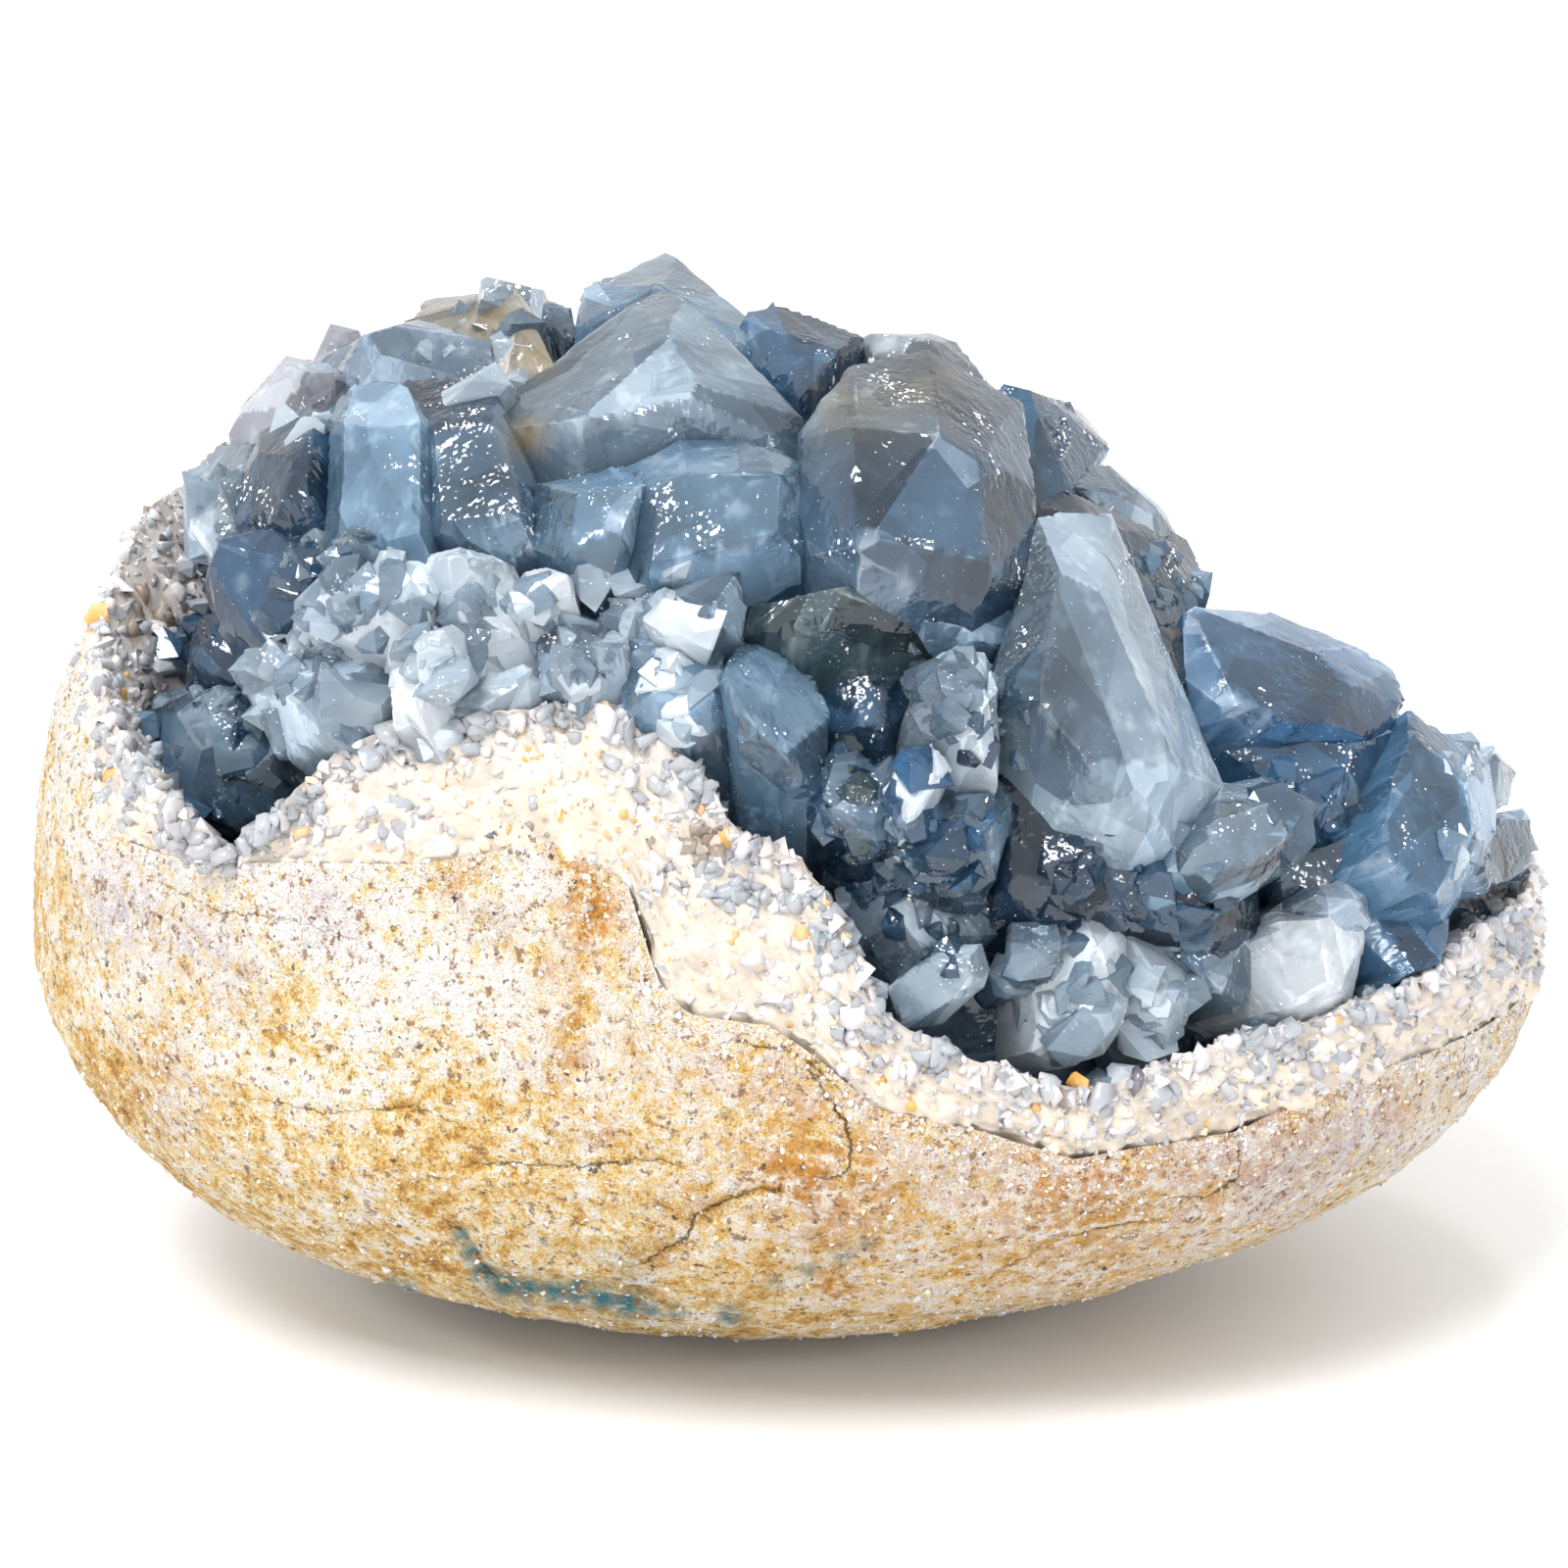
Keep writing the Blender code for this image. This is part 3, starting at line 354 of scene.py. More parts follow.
def mesh_object(name, points, faces, attributes=None, smooth_angle=None):
    """A mesh object at the origin from an array of points and an array of triangles or quads. An
    attribute of its points is a number, a vector or a colour, by whether it has 1, 3 or 4 values.
    Edges sharper than `smooth_angle` stay sharp."""
    mesh = bpy.data.meshes.new(name)
    mesh.from_pydata(np.asarray(points).tolist(), [], np.asarray(faces).tolist())
    for label, values in (attributes or {}).items():
        values = np.asarray(values, np.float32).reshape(len(points), -1)
        kind, field = ATTRIBUTE_KINDS[values.shape[1]]
        made = mesh.attributes.new(label, kind, "POINT")
        made.data.foreach_set(field, values.ravel())
    if smooth_angle is not None:
        mesh.shade_smooth()
        mesh.set_sharp_from_angle(angle=math.radians(smooth_angle))
    made = bpy.data.objects.new(name, mesh)
    bpy.context.scene.collection.objects.link(made)
    print(name, len(mesh.polygons), "faces")
    return made


def points_and_triangles(bm):
    """Arrays of an editable mesh's points and triangles. It is freed."""
    mesh = bpy.data.meshes.new("reading")
    bm.to_mesh(mesh)
    bm.free()
    points = np.empty(3 * len(mesh.vertices), np.float32)
    mesh.vertices.foreach_get("co", points)
    triangles = np.empty(3 * len(mesh.polygons), np.int32)
    mesh.polygons.foreach_get("vertices", triangles)
    bpy.data.meshes.remove(mesh)
    return points.reshape(-1, 3).astype(float), triangles.reshape(-1, 3)


def node(tree, kind, inputs, out=0, **settings):
    """Adds a shader node, sets its properties, stores or links its inputs, and returns one output. A
    hex string among the inputs is a colour."""
    made = tree.nodes.new("ShaderNode" + kind)
    for key, value in settings.items():
        setattr(made, key, value)
    for key, value in inputs.items():
        if isinstance(value, bpy.types.NodeSocket):
            tree.links.new(value, made.inputs[key])
        else:
            made.inputs[key].default_value = linear(value) if isinstance(value, str) else value
    return made.outputs[out] if made.outputs else made


def new_material(name):
    """An empty material with its output node, ready for `node`."""
    made = bpy.data.materials.new(name)
    made.use_nodes = True
    made.node_tree.nodes.clear()
    return made, made.node_tree

# %% [markdown]
# ## The large crystals
#
# Celestite grows in blocky crystals with flat faces, and broken ones show wide smooth cleavage faces.
# Each crystal is listed with its tone, how far behind the mound's surface its corners lie in mm, and
# its outline in the view. The most striking ones also list the corners of their own front faces as
# (across, down, rise in mm), and they come first.

# %% The most striking crystals of the near side
FACED = {
    "pyramid": ("grey", 2, [
        (690, 330, 4.5), (703, 404, 5.5), (702, 440, 4.0), (600, 425, 5.0), (740, 400, 4.0)], [
        (510, 438), (520, 405), (548, 384), (600, 345), (645, 308), (680, 297), (702, 316), (722, 328),
        (745, 345), (770, 380), (815, 432), (812, 452), (705, 454), (665, 476), (600, 484), (560, 470)]),
    "great_block": ("slate", -2, [
        (868, 436, 5.0), (960, 440, 6.5), (1004, 470, 6.3), (1008, 585, 4.5), (880, 555, 5.0)], [
        (815, 500), (818, 445), (850, 395), (878, 372), (940, 361), (1015, 392), (1040, 410),
        (1048, 460), (1058, 490), (1055, 545), (1050, 590), (1000, 628), (940, 618), (870, 600),
        (830, 560)]),
    "blade": ("light", -2, [
        (1078, 590, 4.0), (1122, 585, 4.6), (1165, 690, 5.2), (1205, 795, 5.0), (1180, 835, 4.0),
        (1105, 780, 4.2), (1060, 705, 3.6)], [
        (1018, 710), (1022, 660), (1035, 610), (1055, 550), (1062, 524), (1135, 532), (1160, 590),
        (1195, 690), (1245, 795), (1215, 850), (1195, 866), (1150, 830), (1085, 800), (1045, 740)]),
    "left_block": ("mid", -1, [
        (348, 432, 3.4), (430, 430, 3.8), (426, 545, 3.6), (345, 562, 3.0)], [
        (333, 470), (342, 420), (365, 392), (410, 396), (432, 430), (438, 480), (428, 545), (350, 576),
        (332, 592)]),
    "left_block_side": ("steel", 0.5, [
        (445, 432, 3.0), (505, 430, 2.6), (532, 525, 2.6), (448, 540, 3.2)], [
        (412, 394), (475, 388), (505, 398), (540, 480), (545, 530), (542, 568), (438, 548), (430, 470)]),
    "dark_peak": ("dark", 0.5, [
        (316, 438, 4.0), (264, 462, 3.4), (300, 478, 4.6), (278, 530, 3.8), (322, 500, 3.8)], [
        (243, 535), (242, 498), (262, 448), (318, 412), (340, 426), (338, 460), (318, 540), (280, 552)]),
    "back_peak": ("mid", 12, [(602, 330, 2.4), (676, 284, 3.4), (702, 300, 2.6), (764, 360, 2.4)], [
        (583, 332), (597, 293), (625, 279), (679, 259), (735, 300), (765, 325), (775, 380), (590, 390)]),
    "blue_wedge": ("deep", 10, [(800, 342, 2.8), (856, 358, 3.0), (815, 404, 3.2)], [
        (755, 322), (785, 310), (845, 325), (888, 345), (850, 395), (835, 425), (812, 432), (760, 365)]),
    "wide_left": ("mid", 0, [(600, 500, 3.2), (655, 492, 3.8), (640, 536, 4.2), (575, 560, 2.6)], [
        (546, 500), (575, 487), (668, 474), (665, 530), (650, 580), (612, 622), (570, 582), (548, 562)]),
    "wide_right": ("mid", -0.5, [
        (672, 500, 4.2), (700, 478, 4.0), (800, 484, 3.8), (790, 540, 3.2), (660, 578, 3.2)], [
        (640, 482), (700, 454), (762, 452), (818, 476), (823, 520), (820, 562), (690, 598), (648, 602)]),
    "right_mass": ("deep", 1, [
        (1240, 655, 3.0), (1330, 652, 3.6), (1384, 700, 4.4), (1345, 742, 5.0), (1255, 728, 4.4)], [
        (1212, 690), (1212, 625), (1300, 622), (1345, 645), (1392, 685), (1420, 682), (1433, 712),
        (1420, 750), (1330, 756), (1250, 748)]),
    "right_light": ("saturated", -1, [
        (1436, 758, 3.6), (1500, 798, 4.4), (1498, 862, 4.4), (1462, 915, 4.0), (1404, 872, 3.6)], [
        (1378, 870), (1390, 835), (1415, 770), (1442, 726), (1475, 748), (1515, 780), (1530, 830),
        (1510, 880), (1475, 938), (1420, 915)]),
    "right_block": ("light", -3, [
        (1228, 850, 3.6), (1296, 812, 3.4), (1318, 850, 4.0), (1272, 888, 4.0)], [
        (1205, 860), (1225, 835), (1255, 800), (1295, 797), (1325, 818), (1334, 845), (1320, 880),
        (1285, 902), (1240, 897), (1212, 882)]),
    "white_block": ("frosty", 2, [
        (1300, 940, 2.6), (1356, 936, 3.4), (1368, 1010, 3.4), (1318, 1026, 2.8)], [
        (1283, 975), (1291, 932), (1312, 921), (1366, 919), (1385, 930), (1395, 952), (1387, 990),
        (1378, 1035), (1362, 1046), (1310, 1046)]),
}
print(len(FACED), "crystals with drawn faces")

# %% [markdown]
# ### The plainer crystals
#
# The others are known by their outline and the way their front leans. Their front face is drawn by
# three values: its rise in mm, how wide it is, and how it leans across and up.

# %% The plainer crystals of the near side
PLAIN = {
    # Painted shade: gap_wall, blade_back, right_gap, right_shade, under_blade and dark_pyramid take the black
    # tone, and notch_wall the dark one, as they lie in shaded gaps and recesses.
    "milky_shoulder": ("pinkish", 3, 2, 0.6, (0.2, 0.4), [
        (228, 447), (245, 415), (262, 385), (288, 366), (322, 364), (347, 380), (300, 425), (260, 452)]),
    "left_lobe": ("pale", 1.5, 2.5, 0.5, (0.3, 0), [
        (186, 520), (200, 475), (228, 446), (262, 450), (246, 490), (236, 540), (226, 575), (190, 548)]),
    "dark_skirt": ("dark", 0.5, 2.5, 0.6, (0.4, 0), [
        (212, 600), (222, 560), (240, 538), (290, 552), (325, 530), (333, 570), (298, 622), (262, 655),
        (228, 645)]),
    "pale_shoulder": ("light", 5, 2.5, 0.5, (0, 0.4), [
        (335, 395), (350, 365), (385, 340), (425, 326), (468, 335), (498, 350), (500, 392), (365, 396)]),
    "smoky_shoulder": ("smoky", 8, 3, 0.5, (0.3, 0.2), [
        (415, 325), (435, 306), (500, 298), (527, 298), (552, 330), (562, 368), (510, 402), (470, 370)]),
    "low_back_ridge": ("grey", 9, 1, 0.5, (0, 0), [
        (322, 366), (345, 352), (385, 341), (400, 360), (340, 390)]),
    "dark_saddle": ("steel", 13, 1, 0.5, (0, 0), [
        (530, 305), (545, 299), (583, 312), (592, 345), (575, 368)]),
    "far_ridge": ("grey", 10, 2, 0.4, (0, 0.5), [
        (880, 345), (905, 340), (958, 341), (975, 348), (1017, 396), (985, 410), (900, 400)]),
    "frosty_knob": ("frosty", -1, 2.5, 0.6, (0, 0.3), [
        (520, 600), (535, 585), (557, 580), (585, 597), (583, 620), (562, 633), (545, 646), (528, 632)]),
    "cluster_top": ("milky", -1.5, 3, 0.4, (0.3, 0.3), [
        (300, 650), (308, 615), (340, 578), (385, 560), (430, 570), (448, 610), (440, 655), (350, 660)]),
    "cluster_right": ("milky", -1, 2.5, 0.5, (-0.3, 0.2), [
        (430, 572), (470, 562), (520, 575), (548, 640), (500, 668), (455, 672), (438, 630)]),
    "cluster_low": ("light", 1, 3, 0.5, (0.2, -0.4), [
        (240, 685), (255, 665), (300, 652), (398, 662), (400, 720), (372, 748), (300, 768), (262, 725)]),
    "milky_drop": ("frosty", -3, 2, 0.5, (0.3, 0), [
        (398, 660), (420, 640), (445, 640), (453, 672), (440, 698), (415, 738), (398, 736)]),
    "low_lens": ("pale", 0.5, 1.5, 0.6, (0, -0.4), [
        (412, 724), (440, 700), (485, 685), (530, 672), (553, 690), (552, 712), (460, 732)]),
    "low_middle": ("light", -0.5, 2.5, 0.5, (0.2, -0.2), [
        (545, 650), (575, 632), (612, 640), (640, 648), (650, 675), (640, 702), (590, 706), (552, 700)]),
    "dark_wedge": ("dark", 1, 1.5, 0.4, (0, 0), [
        (555, 640), (585, 605), (615, 620), (605, 640), (575, 650)]),
    "light_wedge": ("light", -1, 3, 0.4, (0.3, -0.3), [
        (610, 628), (645, 606), (690, 590), (750, 580), (755, 615), (750, 652), (700, 656), (640, 642)]),
    "light_low": ("mid", -1, 2, 0.5, (0.2, 0), [
        (640, 650), (690, 652), (735, 665), (745, 700), (738, 750), (705, 762), (655, 735), (640, 718)]),
    "big_lens": ("mid", 0, 4, 0.45, (-0.3, 0), [
        (733, 740), (738, 695), (752, 662), (785, 660), (815, 682), (842, 716), (840, 758), (822, 812),
        (790, 800), (750, 785)]),
    "dark_pyramid": ("black", 3, 2, 0.3, (0, 0.3), [
        (752, 640), (752, 592), (790, 578), (816, 564), (840, 575), (868, 610), (862, 640), (800, 655)]),
    "olive_lens": ("olive", 0, 3, 0.5, (0, 0.5), [
        (752, 650), (765, 620), (805, 612), (850, 605), (900, 615), (955, 656), (850, 668), (780, 664)]),
    "block_foot": ("mid", -0.5, 2, 0.5, (0, -0.3), [
        (865, 600), (930, 585), (990, 600), (1040, 608), (1022, 652), (985, 662), (905, 620)]),
    "thin_shard": ("pale", -4, 1, 0.4, (0, 0), [
        (1003, 715), (1010, 682), (1020, 690), (1018, 735), (1010, 740)]),
    "middle_pale": ("pale", -1, 3.5, 0.4, (0.3, 0), [
        (928, 720), (945, 680), (978, 662), (1003, 670), (1018, 700), (1018, 797), (985, 790),
        (930, 742)]),
    "dark_middle": ("dark", 3, 2, 0.4, (0, -0.3), [
        (838, 705), (860, 668), (905, 655), (938, 668), (940, 700), (928, 750), (905, 795), (845, 752)]),
    "grey_heap": ("dark", 1, 2.5, 0.3, (0.2, 0), [
        (822, 815), (835, 775), (858, 755), (888, 775), (912, 810), (920, 850), (890, 870), (835, 855)]),
    "pale_wedge": ("milky", -2, 2.5, 0.3, (0.3, 0), [
        (903, 800), (925, 765), (950, 760), (972, 785), (962, 808), (925, 852), (912, 840)]),
    "deep_left": ("steel", 1.5, 2.5, 0.4, (-0.2, 0.2), [
        (925, 855), (960, 800), (1000, 785), (1030, 808), (1028, 850), (1012, 900), (970, 912),
        (930, 895)]),
    "deep_floor": ("light", 5, 2, 0.5, (0, 0.3), [
        (850, 880), (890, 858), (935, 890), (1005, 905), (1010, 950), (965, 965), (915, 1000),
        (865, 940)]),
    "gap_wall": ("black", 2, 2, 0.5, (0.4, 0), [
        (1015, 735), (1040, 730), (1090, 800), (1120, 900), (1110, 930), (1060, 935), (1030, 900),
        (1020, 830)]),
    "blade_back": ("black", 3, 2.5, 0.3, (-0.3, 0.3), [
        (1055, 525), (1085, 505), (1130, 515), (1175, 540), (1190, 580), (1205, 625), (1190, 650)]),
    "teal_back": ("teal", 4, 2, 0.4, (-0.2, 0.3), [
        (1020, 395), (1048, 396), (1080, 416), (1105, 422), (1130, 452), (1122, 478), (1082, 530),
        (1050, 520)]),
    "pale_shard": ("grey", 4, 1.5, 0.5, (0, 0.3), [
        (1090, 488), (1125, 470), (1160, 497), (1193, 520), (1203, 548), (1180, 552), (1140, 520)]),
    "back_knob": ("steel", 4, 2.5, 0.4, (-0.3, 0), [
        (1150, 560), (1190, 535), (1212, 548), (1229, 575), (1225, 605), (1212, 632), (1160, 620)]),
    "right_gap": ("black", 1.5, 1, 0.5, (0, 0), [
        (1165, 645), (1200, 632), (1215, 655), (1228, 705), (1205, 712), (1185, 690)]),
    "right_mass_low": ("deep", 1.5, 2.5, 0.4, (0, -0.3), [
        (1225, 742), (1330, 738), (1420, 742), (1412, 790), (1395, 835), (1370, 864), (1315, 815)]),
    "right_milky": ("light", 3, 1.5, 0.5, (0, 0.3), [
        (1475, 750), (1500, 741), (1525, 758), (1545, 790), (1545, 818), (1528, 822), (1500, 785)]),
    "right_tip": ("mid", 0, 1.5, 0.5, (-0.3, 0), [
        (1498, 880), (1515, 845), (1550, 820), (1568, 868), (1562, 890), (1545, 905), (1510, 908)]),
    "right_low": ("deep", 2, 2, 0.6, (0.2, -0.2), [
        (1385, 905), (1440, 908), (1475, 935), (1472, 960), (1450, 985), (1410, 1010), (1392, 960)]),
    "right_shade": ("black", 2, 1, 0.4, (0, 0), [
        (1300, 898), (1335, 852), (1372, 872), (1368, 900), (1330, 912)]),
    "pale_round": ("light", 0, 1.5, 0.5, (0, 0.3), [
        (1320, 925), (1335, 905), (1368, 897), (1392, 912), (1398, 945), (1350, 950)]),
    "under_blade": ("black", 1.5, 2.5, 0.4, (0.2, -0.2), [
        (1078, 860), (1095, 825), (1160, 845), (1205, 872), (1280, 910), (1280, 945), (1245, 968),
        (1115, 925)]),
    "low_right": ("light", 3, 1.5, 0.5, (0, 0), [
        (1180, 960), (1230, 950), (1280, 950), (1290, 985), (1265, 1030), (1225, 1010)]),
    "front_pale": ("milky", 3.5, 3, 0.35, (0.2, 0.1), [
        (1058, 1068), (1060, 1010), (1075, 945), (1100, 921), (1142, 943), (1152, 980), (1150, 1035),
        (1125, 1070), (1085, 1084)]),
    "front_pale_side": ("pale", 3.5, 3, 0.4, (-0.3, 0), [
        (1143, 945), (1180, 962), (1230, 1000), (1225, 1018), (1200, 1040), (1185, 1084), (1148, 1020)]),
    "front_bits": ("steel", 2, 1.5, 0.4, (0, 0), [
        (1032, 988), (1050, 950), (1075, 938), (1082, 962), (1072, 1000), (1045, 1003)]),
    "plate": ("light", 2.5, 2, 0.6, (0.2, 0.3), [
        (908, 1005), (930, 985), (962, 967), (1000, 964), (1008, 988), (1003, 1006), (965, 1040),
        (925, 1048)]),
    "notch_floor": ("steel", 9, 2, 0.5, (0.2, 0.3), [
        (150, 765), (152, 728), (200, 700), (245, 700), (258, 745), (285, 795), (272, 820), (238, 845),
        (160, 810)]),
    "notch_wall": ("dark", 9, 1, 0.5, (0, 0), [
        (190, 700), (198, 640), (215, 620), (262, 655), (255, 700)]),
}
print(len(PLAIN), "crystals with a leaning front")

# %% [markdown]
# ### Glints and tints
#
# On some faces the light catches a patch of small broken steps, which shows as a swarm of white glints;
# these are painted highlights, white specks in the crystal's colour.
# A few crystals are tinted: the great block is smoky at its top, and two have a yellow stain. Both are
# given as round spots in the view.

# %% Place the glints and tints
# Each spot: across, down, radius, strength.
# Painted highlights: at these spots the crystals get swarms of white specks in their colour.
PAINTED_GLINTS = [
    (270, 508, 26, 1.0), (300, 432, 20, 0.9), (398, 530, 24, 1.0), (470, 408, 30, 0.9), (520, 328, 18, 0.7),
    (367, 580, 22, 1.0), (625, 625, 16, 1.0), (1005, 425, 32, 1.0), (905, 395, 30, 0.7), (868, 700, 28, 1.0),
    (892, 745, 20, 0.9), (970, 860, 26, 0.8), (930, 925, 26, 0.8), (1148, 571, 14, 1.0), (1190, 582, 26, 0.9),
    (1265, 845, 24, 0.9), (1320, 790, 34, 0.8), (690, 508, 34, 1.0), (725, 545, 26, 0.8), (598, 500, 18, 0.7),
    (560, 522, 14, 0.8), (552, 605, 20, 1.0), (460, 632, 14, 1.0), (345, 602, 18, 0.9), (640, 342, 16, 0.6),
    (1330, 962, 22, 0.7), (850, 640, 30, 0.7), (1440, 800, 18, 0.7), (570, 662, 20, 0.8), (690, 640, 16, 0.9),
    (800, 500, 12, 0.8), (1110, 455, 18, 0.8), (1500, 850, 18, 0.6), (218, 500, 18, 0.9),
    (1080, 640, 14, 0.5),
    (1120, 1000, 18, 0.7), (985, 690, 14, 0.7), (240, 745, 24, 0.7), (300, 660, 18, 0.7),
    (960, 1000, 16, 0.6),
]
TINTS = [
    ("#8d8672", [(905, 395, 55, 0.75), (960, 372, 40, 0.6), (850, 420, 34, 0.5)]),
    ("#b79c5e", [(538, 446, 22, 0.8), (548, 368, 20, 0.8), (505, 318, 22, 0.4)]),
]
print(len(PAINTED_GLINTS), "glints")

# %% [markdown]
# ### From corners to flat faces
#
# The corners of a crystal are closed to a convex solid. Its triangles are then gathered by direction,
# because a real face is wide and flat: triangles within 15 degrees of each other become one face,
# with their average direction and distance.

# %% Corners and faces of one crystal
SEED = 7
ROOT_DEPTH = 0.5
ROOT_WIDTH = 0.8
ROOT_CENTRE = 22.0 * MM
ROOT_PULL = 0.4
OUTER_OVERLAP = 1.05
INNER_OVERLAP = 1.13
FACE_NARROWING = (0.55, 0.9)
FACE_SHIFT = 0.25
MERGE_COSINE = math.cos(math.radians(15))


def drawn_face(ring, outward, across, up, rise, flat, lean, overlap, rng):
    """Every second corner of the ring, drawn out along a random direction and in across it, shrunk by
    `flat`, shifted and tilted by `lean`, and raised outwards."""
    middle = ring.mean(0)
    offset = (ring - middle) * overlap
    size = np.abs(offset).max()
    turn = rng.uniform(0, math.pi)
    along = across * math.cos(turn) + up * math.sin(turn)
    narrow = rng.uniform(*FACE_NARROWING)
    corners = offset[rng.integers(2) :: 2]
    tilt = 1 + lean[0] * (corners @ across) / size + lean[1] * (corners @ up) / size
    drawn = corners * narrow + np.outer(corners @ along, along) * (1 / narrow - narrow)
    shift = (across * lean[0] + up * lean[1]) * size * FACE_SHIFT
    return middle + shift + flat * drawn + outward * (rise * tilt)[:, None]


def with_root(ring, face, overlap):
    """The ring made larger by `overlap`, the face before it, and a smaller ring drawn half of the way to
    the place under the mound from which the crystals grow."""
    middle = ring.mean(0)
    offset = (ring - middle) * overlap
    focus = np.array([ROOT_PULL * middle[0], ROOT_PULL * middle[1], ROOT_CENTRE])
    root = middle + offset * ROOT_WIDTH + ROOT_DEPTH * (focus - middle)
    return np.concatenate([middle + offset, face, root])


def flat_faces(corners):
    """Directions and distances, from the corners' middle, of the convex solid's gathered faces."""
    bm = bmesh.new()
    for corner in corners:
        bm.verts.new(corner)
    hull = bmesh.ops.convex_hull(bm, input=bm.verts)
    spare = {item for key in ("geom_interior", "geom_unused") for item in hull[key]}
    bmesh.ops.delete(bm, geom=[item for item in spare if isinstance(item, bmesh.types.BMVert)])
    bmesh.ops.recalc_face_normals(bm, faces=bm.faces)
    bm.normal_update()
    middle = np.mean([vert.co for vert in bm.verts], axis=0)
    triangles = sorted(
        (-face.calc_area(), tuple(face.normal), tuple(face.calc_center_median())) for face in bm.faces
    )
    bm.free()
    gathered = []
    for area, direction, place in triangles:
        weighted = -area * np.array([*direction, *place])
        for group in gathered:
            if group[:3] @ direction > MERGE_COSINE * np.linalg.norm(group[:3]):
                group += [*weighted, -area]
                break
        else:
            gathered.append(np.array([*weighted, -area]))
    gathered = np.array(gathered)
    directions = gathered[:, :3] / np.linalg.norm(gathered[:, :3], axis=1)[:, None]
    places = gathered[:, 3:6] / gathered[:, 6:]
    return middle, directions, ((places - middle) * directions).sum(1)


# %% [markdown]
# ### Small facets on the corners
#
# A real crystal's corners aren't left as three large faces make them: small faces grow across them, or
# cleave off. In a few random directions a plane is set just below the farthest corner, so that it cuts
# off that corner and nothing else.

# %% Cut the corners
CUT_COUNT = 4
CUT_DEPTH = (0.02, 0.07)


def with_cuts(corners, middle, directions, distances, rng):
    """The faces, and planes across some corners. A plane lies below the farthest corner in its
    direction by a small share of the distance to that corner."""
    cuts = rng.normal(size=(CUT_COUNT, 3))
    cuts /= np.linalg.norm(cuts, axis=1)[:, None]
    farthest = ((corners - middle) @ cuts.T).max(0)
    depth = rng.uniform(*CUT_DEPTH, CUT_COUNT)
    return np.concatenate([directions, cuts]), np.concatenate([distances, farthest * (1 - depth)])


# %% [markdown]
# ### From flat faces to a worn surface
#
# A crystal's surface is worked out from its middle: in each direction it lies where the nearest of the
# face planes is met. Points close to an edge or a corner are moved onto it, so that edges stay crisp.
# Then each plane sinks a little by noise, in shallow waves, in low steps like growth terraces, and in
# chips along the edges. Two things are kept for the finish: each point's distance to the nearest edge,
# and its place in the crystal's own length, width and thickness, so that grooves run along a crystal.

# %% The surface of one crystal
BALLS = {}
SNAP_SHARE = 0.6
WAVE_WIDTH = 5 * MM
WAVE_DEPTH = 0.05 * MM
TERRACE_WIDTH = 7 * MM
TERRACE_DEPTH = 0.05 * MM
TERRACE_COUNT = 3
CHIP_WIDTH = 1.7 * MM
CHIP_DEPTH = 0.22 * MM
CHIP_RUN = 0.5 * MM
TURN_SHIFT = 31 * MM


def ball(level):
    """Points and triangles of an even ball of triangles, split `level` times."""
    if level not in BALLS:
        bm = bmesh.new()
        bmesh.ops.create_icosphere(bm, subdivisions=level, radius=1)
        points, triangles = points_and_triangles(bm)
        BALLS[level] = points / np.linalg.norm(points, axis=1)[:, None], triangles
    return BALLS[level]


def own_axes(corners):
    """The crystal's own directions, longest first, and the matrix that stretches a ball to them."""
    _, sizes, axes = np.linalg.svd(corners, full_matrices=False)
    return axes, axes.T @ np.diag(sizes) @ axes


def sink(points, directions, edge_gap, seed):
    """How far a plane sinks at each point: waves, terraces as rounded-down noise, and chips that fade
    out from the edge. Each plane reads the noise at its own shift, so that no two are alike."""
    turned = points + TURN_SHIFT * directions
    waves = WAVE_DEPTH * (1 + smooth_noise(turned, WAVE_WIDTH, seed))
    steps = np.floor(TERRACE_COUNT * (1 + smooth_noise(turned, TERRACE_WIDTH, seed + 1))) * TERRACE_DEPTH
    chips = np.clip(smooth_noise(points, CHIP_WIDTH, seed + 2) - 0.1, 0, 1) * np.exp(-edge_gap / CHIP_RUN)
    return waves + steps + CHIP_DEPTH * chips


